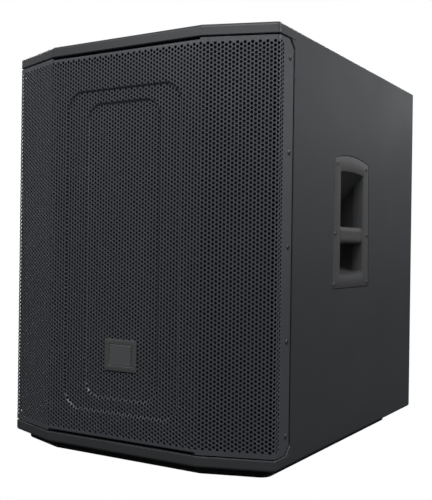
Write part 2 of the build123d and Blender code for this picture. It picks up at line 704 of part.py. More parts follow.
def back_plate():
    """The rear plate with its vented pole piece."""
    high = BELOW_PLATE - TOP_PLATE_T - MAGNET_T
    plate = ring(VENT_R, MAGNET_R - 4, high - BACK_PLATE_T, high)
    pole = ring(VENT_R, COIL_R - COIL_T - POLE_GAP, high, BELOW_PLATE)
    return DRIVER.location * (plate + pole)


def driver_terminals():
    """The terminal block with two push posts, under the frame."""
    seat = TERMINAL_R
    base = block(-14, 14, -seat - 10, -seat, PLATFORM_Z, PLATFORM_Z + 12)
    posts = [rod(3, (x, -seat - 5, PLATFORM_Z - 8), (x, -seat - 5, PLATFORM_Z)) for x in (-8, 8)]
    return DRIVER.location * (base + posts[0] + posts[1])


def driver_bolts():
    length = FLANGE_Z + WALL + 4
    made = [screw((x, y, FLANGE_Z), (0, 0, 1), 5.5, 4.5, BOLT_R, length) for x, y in bolt_spots()]
    return DRIVER.location * joined(made)


def driver_t_nuts():
    """Flanged nuts behind the baffle, one on each bolt."""
    made = []
    for x, y in bolt_spots():
        nut = rod(10, (x, y, -WALL - 2), (x, y, -WALL)) + rod(5.5, (x, y, -WALL - 8), (x, y, -WALL))
        made.append(nut - rod(BOLT_R + HOLE_GAP, (x, y, -WALL - 9), (x, y, -WALL + 1)))
    return DRIVER.location * joined(made)


# ---- speaker leads, from the driver's posts to the amplifier housing ----
LEAD_R = 2.4
LEAD_SLOT = 50.0
POST_Y = BAFFLE_F - PLATFORM_Z + 8.0
POST_Z = DRIVER_C - TERMINAL_R - 5
HOUSING_FACE = REAR_F - HOUSING_DEPTH
LEAD_LOW = POST_Z - 62.0
LEAD_SPAN = HOUSING_FACE - POST_Y
# share of the span from the posts to the housing, and the drop below the posts
LEAD_SAG = (
    (0.0, 0.0),
    (0.116, 0.0),
    (0.249, 20.0),
    (0.387, 49.0),
    (0.525, 61.0),
    (0.669, 58.0),
    (0.796, 41.0),
    (0.898, 30.0),
    (1.0, 30.0),
)


def lead_radii(points):
    """The largest bend that each corner's two runs allow."""
    radii = []
    for before, here, after in zip(points, points[1:], points[2:]):
        a = Vector(*here) - Vector(*before)
        b = Vector(*after) - Vector(*here)
        radii.append(0.45 * min(a.length, b.length) / tan(radians(a.get_angle(b)) / 2))
    return radii


def speaker_lead(x):
    """One lead, sagging through the brace."""
    points = [(x, POST_Y + share * LEAD_SPAN, POST_Z - drop) for share, drop in LEAD_SAG]
    radii = lead_radii(points)
    print("lead bends", [round(r) for r in radii])
    path = FilletPolyline(*points, radius=radii)
    section = Plane(origin=points[0], z_dir=path % 0) * Circle(LEAD_R)
    lead = sweep(section, path)
    ratio = lead.volume / (pi * LEAD_R**2 * path.length)
    print("lead length", round(path.length), "volume ratio", round(ratio, 4))
    return lead


# ---- amplifier module; places are (x, height from the panel's centre) ----
DISPLAY_AT = (-92.0, 5.0)
ENCODER_AT = (-25.0, 5.0)
KNOBS_AT = ((38.0, 5.0), (96.0, 5.0))
JACKS_AT = ((38.0, -52.0), (96.0, -52.0))
XLRS_AT = ((38.0, -112.0), (96.0, -112.0))
INLET_AT = (-104.0, -150.0)
SWITCH_AT = (-50.0, -150.0)
LATCH_RISE = 12.5
LATCH_W, LATCH_H = 6.0, 4.0


def amp_screw_spots():
    """The module's screw places round its edge."""
    x, z = AMP_W / 2 - 8, AMP_H / 2 - 8
    rows = [(side * x, AMP_C + k * z) for side in (-1, 1) for k in (-1, -0.34, 0.34, 1)]
    return rows + [(0, AMP_C - z), (0, AMP_C + z)]


def on_panel(spot):
    """A plane on the module's outer face at a place, looking out of the back."""
    return Plane(origin=(spot[0], AMP_F, AMP_C + spot[1]), x_dir=(-1, 0, 0), z_dir=(0, 1, 0))


def out(spot, radius, depth_in, height_out):
    """A round solid square to the panel, from depth_in behind its face to height_out before it."""
    y0, y1, z = AMP_F - depth_in, AMP_F + height_out, AMP_C + spot[1]
    return rod(radius, (spot[0], y0, z), (spot[0], y1, z))


def slab(spot, width, height, depth_in, height_out):
    """A box square to the panel, from depth_in behind its face to height_out before it."""
    (x, dz), half_w, half_h = spot, width / 2, height / 2
    z = AMP_C + dz
    return block(x - half_w, x + half_w, AMP_F - depth_in, AMP_F + height_out, z - half_h, z + half_h)


def latch_at(spot):
    """A latch's place above its socket's centre."""
    return spot[0], spot[1] + LATCH_RISE


def amp_panel():
    plane = Plane(origin=(0, REAR_F, AMP_C), x_dir=(-1, 0, 0), z_dir=(0, 1, 0))
    panel = rounded(plane, AMP_W, AMP_H, CORNER_R, AMP_T)
    panel -= slab(DISPLAY_AT, 60 + GAP, 34 + GAP, AMP_T + 1, 1)
    panel -= out(ENCODER_AT, ENCODER_SHAFT_R + GAP, AMP_T + 1, 1)
    for spot in KNOBS_AT:
        panel -= out(spot, POT_R + GAP, AMP_T + 1, 1)
    for spot in JACKS_AT + XLRS_AT:
        panel -= out(spot, JACK_R + GAP, AMP_T + 1, 1)
    for spot in JACKS_AT:
        panel -= slab(latch_at(spot), LATCH_W + 2 * GAP, LATCH_H + 2 * GAP, AMP_T + 1, 1)
    panel -= slab(INLET_AT, INLET_W + 4 + GAP, INLET_H + 4 + GAP, AMP_T + 1, 1)
    panel -= slab(SWITCH_AT, SWITCH_W + 4 + GAP, SWITCH_H + 4 + GAP, AMP_T + 1, 1)
    for x, z in amp_screw_spots():
        panel -= rod(AMP_SCREW_R + HOLE_GAP, (x, REAR_F - 1, z), (x, AMP_F + 1, z))
    return panel


def heatsink():
    """The heatsink on the module's upper half: fins bonded to a plate."""
    first, pitch = -(SINK_W - FIN_T) / 2, (SINK_W - FIN_T) / (SINK_FINS - 1)
    places = [first + k * pitch for k in range(SINK_FINS)]
    fins = [slab((x, SINK_Z), FIN_T, SINK_H, -SINK_BASE, SINK_BASE + SINK_FIN) for x in places]
    return joined([slab((0, SINK_Z), SINK_W, SINK_H, 0, SINK_BASE), *fins])


def housing_size():
    """Half width and half height of the housing, which passes through the rear panel's cut-out."""
    margin = AMP_CUT_MARGIN + HOUSING_GAP
    return AMP_W / 2 - margin, AMP_H / 2 - margin


def housing_slab(inset, y0, y1):
    """A box on the housing's outline, moved in by inset."""
    half_w, half_h = housing_size()
    x, z = half_w - inset, half_h - inset
    return block(-x, x, y0, y1, AMP_C - z, AMP_C + z)


def amp_housing():
    """The folded steel box that seals the module's inside."""
    box = housing_slab(0, HOUSING_FACE, REAR_F)
    return box - housing_slab(HOUSING_T, HOUSING_FACE + HOUSING_T, REAR_F + 1)


def circuit_board():
    """The amplifier's board on four posts from the housing's floor."""
    half_w, half_h = housing_size()
    y = HOUSING_FACE + HOUSING_T
    board = housing_slab(BOARD_INSET, y + POST_L, y + POST_L + BOARD_T)
    x, z = half_w - BOARD_INSET - 8, half_h - BOARD_INSET - 8
    for sx, sz in ((-1, -1), (-1, 1), (1, -1), (1, 1)):
        board += rod(3, (sx * x, y, AMP_C + sz * z), (sx * x, y + POST_L, AMP_C + sz * z))
    return board


BOARD_Y = HOUSING_FACE + HOUSING_T + POST_L + BOARD_T


def power_transformer():
    """A ring-core transformer standing on the board."""
    plane = Plane(origin=(-70, BOARD_Y, AMP_C + 110), x_dir=(1, 0, 0), z_dir=(0, 1, 0))
    core = ring(16, 46, 0, 42)
    return plane.location * fillet(core.edges(), 8)


def filter_capacitors():
    """Four can capacitors on the board."""
    made = []
    for k in range(4):
        x, z = 24 + 42 * (k % 2), AMP_C + 85 + 44 * (k // 2)
        made.append(rod(17, (x, BOARD_Y, z), (x, BOARD_Y + 48, z)))
    return joined(made)


def display_bezel():
    bezel = slab(DISPLAY_AT, 72, 46, 0, 2.5) + slab(DISPLAY_AT, 60, 34, 8, 2.5)
    return bezel - slab(DISPLAY_AT, 52, 26, 1.5, 3.5)


def display_window():
    return slab(DISPLAY_AT, 52, 26, 1.5, 1.2)


def encoder_shaft():
    """The encoder's plunger, which turns and pushes."""
    return out(ENCODER_AT, ENCODER_SHAFT_R, 14, ENCODER_GAP + ENCODER_H / 2)


def knob(spot, radius, height, bore, gap):
    """A knurled knob with a pointer notch and a blind bore."""
    body = out(spot, radius, -gap, gap + height)
    teeth = 20
    for k in range(teeth):
        a = 2 * pi * k / teeth
        x, z = spot[0] + radius * cos(a), spot[1] + radius * sin(a)
        body -= out((x, z), radius * 0.09, -gap - 2, gap + height + 1)
    body -= slab((spot[0], spot[1] + radius * 0.6), 1.2, radius * 0.8, -gap - height + 0.8, gap + height + 1)
    return body - out(spot, bore, 0, gap + height * 0.6)


def gain_pots():
    """Two alike potentiometers: a shaft and a body behind the panel."""
    return joined([out(spot, POT_R, 6, 6) + slab(spot, 14, 14, 18, -AMP_T - GAP) for spot in KNOBS_AT])


def combo_jack(spot):
    """A panel socket that takes a quarter-inch plug down its middle."""
    plate = slab(spot, CONNECTOR_W, CONNECTOR_H, 0, CONNECTOR_T)
    body = plate + out(spot, JACK_R, JACK_DEPTH, CONNECTOR_T)
    body -= out(spot, JACK_BORE, JACK_DEPTH + 1, CONNECTOR_T + 1)
    for a in (90, 210, 330):
        x, z = spot[0] + 7.6 * cos(radians(a - 60)), spot[1] + 7.6 * sin(radians(a - 60))
        body -= out((x, z), 1.7, 12, CONNECTOR_T + 1)
    return body - slab(latch_at(spot), LATCH_W + 2 * GAP, LATCH_H + 2 * GAP, 6, CONNECTOR_T + 1)


def jack_latch(spot):
    """The push tab that frees a locked plug."""
    return slab(latch_at(spot), LATCH_W, LATCH_H, 3.5, CONNECTOR_T + 2.0)


def xlr_out(spot):
    """A three-pin output socket: a round recess with its pins."""
    plate = slab(spot, CONNECTOR_W, CONNECTOR_H, 0, CONNECTOR_T)
    body = plate + out(spot, JACK_R, XLR_DEPTH + 4, CONNECTOR_T)
    body -= out(spot, XLR_R, XLR_DEPTH, CONNECTOR_T + 1)
    for a in (90, 210, 330):
        x, z = spot[0] + 4.4 * cos(radians(a)), spot[1] + 4.4 * sin(radians(a))
        body += out((x, z), PIN_R, XLR_DEPTH + 1, -XLR_DEPTH + PIN_L)
    return body


def mains_inlet():
    """The mains inlet: a deep oblong recess with three flat pins."""
    body = slab(INLET_AT, INLET_W + 14, INLET_H + 10, 0, CONNECTOR_T)
    body += slab(INLET_AT, INLET_W + 4, INLET_H + 4, INLET_DEPTH + 3, CONNECTOR_T)
    body -= slab(INLET_AT, INLET_W, INLET_H, INLET_DEPTH, CONNECTOR_T + 1)
    for dx, dz in ((-7, -2), (7, -2), (0, 3)):
        pin = (INLET_AT[0] + dx, INLET_AT[1] + dz)
        body += slab(pin, 2, 4, INLET_DEPTH + 1, -INLET_DEPTH + PIN_L)
    return body


ROCKER_TILT = 8.0
ROCKER_PIVOT = 5.0  # behind the panel's face
TRUNNION_R = 1.2


def pivot_rod(radius, half_length):
    """A solid along the rocker's pivot."""
    y, z = AMP_F - ROCKER_PIVOT, AMP_C + SWITCH_AT[1]
    return rod(radius, (SWITCH_AT[0] - half_length, y, z), (SWITCH_AT[0] + half_length, y, z))


def power_switch_frame():
    frame = slab(SWITCH_AT, SWITCH_W + 8, SWITCH_H + 8, 0, CONNECTOR_T)
    frame += slab(SWITCH_AT, SWITCH_W + 4, SWITCH_H + 4, SWITCH_D + 3, CONNECTOR_T)
    frame -= slab(SWITCH_AT, SWITCH_W, SWITCH_H, SWITCH_D, CONNECTOR_T + 1)
    return frame - pivot_rod(TRUNNION_R + RUN_GAP, SWITCH_W / 2 + 1.5)


def power_rocker():
    """The rocker, a shallow V on two trunnions, tilted to the off side."""
    half = SWITCH_H / 2 - ROCKER_GAP - 1.0
    outline = [(-half, 6.0), (0, 7.4), (half, 6.0), (half, 3.0), (2.5, -2.5), (-2.5, -2.5), (-half, 3.0)]
    face = make_face(Polyline(*outline, close=True))
    width = SWITCH_W - 2 * ROCKER_GAP
    pivot = (SWITCH_AT[0], AMP_F - ROCKER_PIVOT, AMP_C + SWITCH_AT[1])
    plane = Plane(origin=pivot, x_dir=(0, 0, 1), z_dir=(-1, 0, 0))
    body = extrude(plane * (Rot(0, 0, ROCKER_TILT) * face), width / 2, both=True)
    return body + pivot_rod(TRUNNION_R, SWITCH_W / 2 + 1.0)


def amp_screws():
    return joined([screw((x, AMP_F, z), (0, 1, 0), 3.6, 2.0, AMP_SCREW_R, 14) for x, z in amp_screw_spots()])


def build():
    """Makes every node."""
    right = {"side_panel": side_panel(), "handle_cup": handle_cup(), "handle_bar": handle_bar()}
    for name, shape in right.items():
        write(f"{name}_right", shape)
        write(f"{name}_left", mirror(shape, about=Plane.YZ))
    for make in (
        top_panel, bottom_panel, rear_panel, baffle, window_brace, grille, grille_cloth,
        badge_plate, badge_insert, grille_screws, wood_screws, base_skid,
        pole_socket, driver_gasket, driver_basket, surround, cone, dust_cap,
        voice_coil, spider, top_plate, magnet_ring, back_plate, driver_terminals, driver_bolts,
        driver_t_nuts, amp_panel, heatsink, amp_housing, circuit_board, power_transformer,
        filter_capacitors, display_bezel, display_window, encoder_shaft, mains_inlet,
        power_switch_frame, power_rocker, amp_screws, gain_pots,
    ):
        write(make.__name__, make())
    for name, side in (("left", -1), ("right", 1)):
        write(f"port_tube_{name}", port_tube(side))
    write("speaker_lead_red", speaker_lead(8))
    write("speaker_lead_black", speaker_lead(-8))
    write("encoder_knob", knob(ENCODER_AT, ENCODER_R, ENCODER_H, ENCODER_SHAFT_R + RUN_GAP, ENCODER_GAP))
    for k, spot in enumerate(KNOBS_AT, 1):
        write(f"gain_knob_{k}", knob(spot, KNOB_R, KNOB_H, POT_R + RUN_GAP, 1.0))
    for k, spot in enumerate(JACKS_AT, 1):
        write(f"combo_jack_{k}", combo_jack(spot))
        write(f"jack_latch_{k}", jack_latch(spot))
    for k, spot in enumerate(XLRS_AT, 1):
        write(f"xlr_out_{k}", xlr_out(spot))


os.makedirs("parts", exist_ok=True)
build()
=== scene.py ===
"""Finishes and visible pieces of a powered subwoofer cabinet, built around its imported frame.

Metres throughout. +Z is up, the grille faces -Y and +X is the right-hand side seen from the front.
"""

import json
import logging
from dataclasses import dataclass, field
from enum import Enum
from math import atan2, cos, hypot, pi, radians, sin, sqrt, tan
from typing import Sequence

import bpy
import numpy as np
from mathutils import Matrix, Vector


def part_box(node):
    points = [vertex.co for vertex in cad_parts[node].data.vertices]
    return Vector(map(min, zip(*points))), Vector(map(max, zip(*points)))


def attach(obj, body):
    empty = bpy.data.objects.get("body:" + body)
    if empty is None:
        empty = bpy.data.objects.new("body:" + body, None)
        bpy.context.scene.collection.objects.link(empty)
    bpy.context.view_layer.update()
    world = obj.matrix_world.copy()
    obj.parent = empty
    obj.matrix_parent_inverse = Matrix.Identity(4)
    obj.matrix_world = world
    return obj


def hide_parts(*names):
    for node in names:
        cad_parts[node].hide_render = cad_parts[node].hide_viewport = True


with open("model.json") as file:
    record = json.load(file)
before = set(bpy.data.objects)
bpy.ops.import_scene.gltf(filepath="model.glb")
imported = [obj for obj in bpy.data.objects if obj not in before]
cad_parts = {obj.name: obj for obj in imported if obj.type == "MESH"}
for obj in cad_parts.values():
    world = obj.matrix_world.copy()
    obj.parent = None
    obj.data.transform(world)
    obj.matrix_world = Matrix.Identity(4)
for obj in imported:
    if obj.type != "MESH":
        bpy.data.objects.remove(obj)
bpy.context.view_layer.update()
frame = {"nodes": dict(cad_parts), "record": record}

log = logging.getLogger("cabinet")
Array = np.ndarray
Colour = tuple[float, float, float]
Pair = tuple[float, float]
Socket = bpy.types.NodeSocket
Piece = bpy.types.Object
CABINET = "cabinet"
UV_MAP = "UVMap"
WELD = 2e-7
SAME_PLACE = 1e-5
HOLE_SIDES = 12
ARC_POINTS = 6
SIDE_POINTS = 8
BEND_POINTS = 7
SMOOTH = radians(35)
MOULDED_SMOOTH = radians(28)
SHEET_SMOOTH = radians(30)


# ---------------------------------------------------------------- finishes
class Bench:
    """One node material being wired up around a Principled shader."""

    def __init__(self, name: str) -> None:
        """Starts the material.

        Args:
            name: the material's name.
        """
        self.material = bpy.data.materials.new(name)
        self.material.use_nodes = True
        tree = self.material.node_tree
        self.nodes, self.links = tree.nodes, tree.links
        self.nodes.clear()
        self.shader = self.nodes.new("ShaderNodeBsdfPrincipled")
        end = self.nodes.new("ShaderNodeOutputMaterial")
        self.links.new(self.shader.outputs["BSDF"], end.inputs["Surface"])
        self.place = self.nodes.new("ShaderNodeTexCoord").outputs["Object"]

    def stretched(self, scale: Sequence[float]) -> Socket:
        """Object coordinates scaled differently along each axis.

        Args:
            scale: the three factors.

        Returns:
            The scaled coordinates.
        """
        node = self.nodes.new("ShaderNodeMapping")
        node.inputs["Scale"].default_value = scale
        self.links.new(self.place, node.inputs["Vector"])
        return node.outputs["Vector"]

    def noise(self, size: float, detail: float = 3.0, where: Socket | None = None) -> Socket:
        """Cloudy noise.

        Args:
            size: the width of one cloud, in metres.
            detail: how many finer layers it has.
            where: other coordinates than the object's own.

        Returns:
            The noise, about 0 to 1.
        """
        node = self.nodes.new("ShaderNodeTexNoise")
        node.inputs["Scale"].default_value = 1 / size
        node.inputs["Detail"].default_value = detail
        self.links.new(where or self.place, node.inputs["Vector"])
        return node.outputs["Fac"]

    def cells(self, size: float) -> Socket:
        """Distance from the nearest of many scattered points, as in moulded grain.

        Args:
            size: the spacing of the points, in metres.

        Returns:
            The distance, about 0 to 1.
        """
        node = self.nodes.new("ShaderNodeTexVoronoi")
        node.inputs["Scale"].default_value = 1 / size
        self.links.new(self.place, node.inputs["Vector"])
        return node.outputs["Distance"]

    def sums(self, kind: str, first: object, second: object = 0.0) -> Socket:
        """One Math node.

        Args:
            kind: the operation's name.
            first: a socket or a number.
            second: a socket or a number, of no effect where the operation takes one value.

        Returns:
            The result.
        """
        node = self.nodes.new("ShaderNodeMath")
        node.operation = kind
        for socket, value in zip(node.inputs, (first, second)):
            if isinstance(value, Socket):
                self.links.new(value, socket)
            else:
                socket.default_value = float(value)
        return node.outputs["Value"]

    def between(self, value: Socket, low: float, high: float, to_low: float, to_high: float) -> Socket:
        """A value moved from one range to another, held at its ends.

        Args:
            value: what is moved.
            low: the first range's start.
            high: the first range's end.
            to_low: the second range's start.
            to_high: the second range's end.

        Returns:
            The moved value.
        """
        node = self.nodes.new("ShaderNodeMapRange")
        for name, number in zip(("From Min", "From Max", "To Min", "To Max"), (low, high, to_low, to_high)):
            node.inputs[name].default_value = number
        self.links.new(value, node.inputs["Value"])
        return node.outputs["Result"]

    def blend(self, share: Socket, first: object, second: object) -> Socket:
        """Two colours mixed.

        Args:
            share: 0 for the first, 1 for the second.
            first: a colour or a socket.
            second: a colour or a socket.

        Returns:
            The mixed colour.
        """
        node = self.nodes.new("ShaderNodeMix")
        node.data_type = "RGBA"
        self.links.new(share, node.inputs["Factor"])
        for socket, value in ((node.inputs[6], first), (node.inputs[7], second)):
            if isinstance(value, Socket):
                self.links.new(value, socket)
            else:
                socket.default_value = (*value, 1.0)
        return node.outputs[2]

    def relief(self, height: Socket, depth: float) -> None:
        """Bumps the shader's normal.

        Args:
            height: the pattern, about 0 to 1.
            depth: how far it rises, in metres.
        """
        node = self.nodes.new("ShaderNodeBump")
        node.inputs["Distance"].default_value = depth
        self.links.new(height, node.inputs["Height"])
        self.links.new(node.outputs["Normal"], self.shader.inputs["Normal"])

    def lead(self, value: Socket, socket: str) -> None:
        """Joins a pattern to one of the shader's sockets."""
        self.links.new(value, self.shader.inputs[socket])

    def set(self, **numbers: float) -> None:
        """Sets the shader's plain numbers; an underscore stands for a space in a socket's name."""
        for name, number in numbers.items():
            self.shader.inputs[name.replace("_", " ")].default_value = number


def shade(colour: Colour, factor: float) -> Colour:
    """The colour made lighter or darker by a factor."""
    return tuple(min(1.0, c * factor) for c in colour)


@dataclass(frozen=True)
class Finish:
    """What every finish has: a name, a colour and a gloss."""

    name: str
    colour: Colour
    roughness: float = 0.5
    specular: float = 0.5

    def wire(self, bench: Bench) -> None:
        """Adds the finish's own nodes; a plain finish has cloudy colour and gloss.

        Args:
            bench: the material.
        """
        cloud = bench.noise(0.03)
        bench.lead(self.tone(bench, cloud, 0.85, 1.15), "Base Color")
        self.gloss(bench, cloud, 0.3, 0.7, 0.04)

    def tone(self, bench: Bench, share: Socket, dark: float, light: float) -> Socket:
        """The colour, made darker or lighter by a pattern.

        Args:
            bench: the material.
            share: the pattern, 0 for the darker and 1 for the lighter.
            dark: the factor of the darker one.
            light: the factor of the lighter one.

        Returns:
            The mixed colour.
        """
        return bench.blend(share, shade(self.colour, dark), shade(self.colour, light))

    def fleck(
        self, bench: Bench, tone: Socket, pattern: Socket, span: Pair, share: float, factor: float
    ) -> None:
        """Sets the base colour to a tone, mixed with another shade where a pattern is strong.

        Args:
            bench: the material.
            tone: the colour between the flecks.
            pattern: what the flecks follow.
            span: the pattern's values where they start and where they are full.
            share: how much of the other shade is in a full fleck.
            factor: how much lighter or darker that shade is than the finish's colour.
        """
        amount = bench.between(pattern, *span, 0.0, share)
        bench.lead(bench.blend(amount, tone, shade(self.colour, factor)), "Base Color")

    def gloss(self, bench: Bench, pattern: Socket, low: float, high: float, swing: float) -> None:
        """Sets the roughness to vary with a pattern.

        Args:
            bench: the material.
            pattern: what it follows.
            low: the pattern's value where the roughness is the swing below the finish's own.
            high: the pattern's value where it is the swing above.
            swing: how far it goes to either side.
        """
        spread = bench.between(pattern, low, high, self.roughness - swing, self.roughness + swing)
        bench.lead(spread, "Roughness")

    def material(self) -> bpy.types.Material:
        """The finish's material, made once.

        Returns:
            The material.
        """
        made = bpy.data.materials.get(self.name)
        if made is None:
            bench = Bench(self.name)
            bench.set(Specular_IOR_Level=self.specular)
            self.wire(bench)
            made = bench.material
        return made


@dataclass(frozen=True)
class Paint(Finish):
    """Sprayed or powder paint: a fine pebbled skin, faint clouds in its colour and gloss."""

    pebble: float = 0.0009
    depth: float = 0.00006
    cloud: float = 0.12

    def wire(self, bench: Bench) -> None:
        """Adds two sizes of pebble, and wide clouds that vary the colour and the gloss.

        Args:
            bench: the material.
        """
        cloud = bench.noise(self.cloud, 4.0)
        speck = bench.noise(self.pebble, 2.0)
        self.fleck(bench, self.tone(bench, cloud, 0.93, 1.07), speck, (0.35, 0.7), 0.35, 1.35)
        wide, fine = bench.between(cloud, 0.3, 0.7, -0.03, 0.03), bench.between(speck, 0.3, 0.7, -0.05, 0.05)
        gloss = bench.sums("ADD", wide, fine)
        bench.lead(bench.sums("ADD", gloss, self.roughness), "Roughness")
        bench.relief(bench.sums("ADD", speck, bench.noise(self.pebble * 3.1, 1.0)), self.depth)


@dataclass(frozen=True)
class Moulding(Finish):
    """Moulded plastic or rubber with a spark-eroded grain."""

    grain: float = 0.0007
    depth: float = 0.00005

    def wire(self, bench: Bench) -> None:
        """Adds a cell grain over a fine noise, the cells' edges a little lighter and glossier.

        Args:
            bench: the material.
        """
        pits = bench.cells(self.grain)
        cloud = bench.noise(0.05, 3.0)
        self.fleck(bench, self.tone(bench, cloud, 0.9, 1.1), pits, (0.1, 0.8), 0.3, 1.4)
        self.gloss(bench, pits, 0.0, 0.9, -0.06)
        bench.relief(bench.sums("ADD", pits, bench.noise(self.grain * 4, 2.0)), self.depth)


@dataclass(frozen=True)
class Metal(Finish):
    """Bare, plated or anodised metal, with marks drawn out along one axis."""

    grain: float = 0.0004
    draw: tuple[float, float, float] = (1.0, 1.0, 0.08)
    depth: float = 0.00001

    def wire(self, bench: Bench) -> None:
        """Adds drawn scratches to the colour, the gloss and the relief.

        Args:
            bench: the material.
        """
        bench.set(Metallic=1.0)
        marks = bench.noise(self.grain, 3.0, bench.stretched(self.draw))
        bench.lead(self.tone(bench, marks, 0.8, 1.15), "Base Color")
        self.gloss(bench, marks, 0.2, 0.8, 0.08)
        bench.relief(marks, self.depth)


@dataclass(frozen=True)
class Plywood(Finish):
    """Bare birch plywood: face grain drawn up the sheet and thin plies across its edge."""

    ply: float = 0.0014

    def wire(self, bench: Bench) -> None:
        """Adds long grain, and plies as bands along Y, which is through the sheet.

        Args:
            bench: the material.
        """
        grain = bench.noise(0.004, 5.0, bench.stretched((1.0, 1.0, 0.05)))
        split = bench.nodes.new("ShaderNodeSeparateXYZ")
        bench.links.new(bench.place, split.inputs["Vector"])
        band = bench.sums("SINE", bench.sums("MULTIPLY", split.outputs["Y"], pi / self.ply))
        plies = bench.between(band, -0.3, 0.3, 0.0, 0.35)
        tone = self.tone(bench, grain, 0.75, 1.15)
        bench.lead(bench.blend(plies, tone, shade(self.colour, 0.55)), "Base Color")
        bench.lead(bench.between(grain, 0.3, 0.7, self.roughness, self.roughness + 0.1), "Roughness")
        bench.relief(grain, 0.0001)


@dataclass(frozen=True)
class Woven(Finish):
    """Cloth: two crossed sets of threads on the piece's own UV map, whose unit is a metre."""

    thread: float = 0.0008
    fuzz: float = 0.4

    def wire(self, bench: Bench) -> None:
        """Adds threads: the height is the product of two crossed sines, each without its sign.

        Args:
            bench: the material.
        """
        node = bench.nodes.new("ShaderNodeUVMap")
        node.uv_map = UV_MAP
        split = bench.nodes.new("ShaderNodeSeparateXYZ")
        bench.links.new(node.outputs["UV"], split.inputs["Vector"])
        waves = []
        for axis in ("X", "Y"):
            turn = bench.sums("MULTIPLY", split.outputs[axis], pi / self.thread)
            waves.append(bench.sums("ABSOLUTE", bench.sums("SINE", turn)))
        height = bench.sums("MULTIPLY", waves[0], waves[1])
        lint = bench.noise(self.thread * 0.6, 3.0)
        self.fleck(bench, self.tone(bench, height, 0.4, 1.5), lint, (0.5, 0.8), 0.3, 2.2)
        bench.set(Roughness=self.roughness, Sheen_Weight=self.fuzz, Sheen_Roughness=0.5)
        bench.relief(height, 0.0002)


@dataclass(frozen=True)
class Ringed(Finish):
    """A turned part: grooves or pulp rings about the driver's axis, with fibres."""

    centre: Pair = (0.0, 0.43)
    pitch: float = 0.004
    depth: float = 0.0002
    metallic: float = 0.0

    def wire(self, bench: Bench) -> None:
        """Adds rings by the distance from the axis, broken up by fibres.

        Args:
            bench: the material.
        """
        bench.set(Metallic=self.metallic)
        split = bench.nodes.new("ShaderNodeSeparateXYZ")
        bench.links.new(bench.place, split.inputs["Vector"])
        across = bench.sums("SUBTRACT", split.outputs["X"], self.centre[0])
        up = bench.sums("SUBTRACT", split.outputs["Z"], self.centre[1])
        square = bench.sums("ADD", bench.sums("POWER", across, 2.0), bench.sums("POWER", up, 2.0))
        reach = bench.sums("SQRT", square)
        wave = bench.sums("SINE", bench.sums("MULTIPLY", reach, 2 * pi / self.pitch))
        fibre = bench.noise(0.002, 5.0)
        self.fleck(bench, self.tone(bench, fibre, 0.7, 1.3), wave, (-1.0, 1.0), 0.3, 0.6)
        self.gloss(bench, fibre, 0.3, 0.7, 0.05)
        bench.relief(bench.sums("ADD", bench.sums("MULTIPLY", wave, 0.5), fibre), self.depth)


@dataclass(frozen=True)
class Glazing(Finish):
    """A smoked window over a dark screen."""

    def wire(self, bench: Bench) -> None:
        """Adds a clear coat over cloudy dark glass."""
        super().wire(bench)
        bench.set(Coat_Weight=1.0, Coat_Roughness=0.03)


BLACK_PAINT = (0.037, 0.040, 0.044)

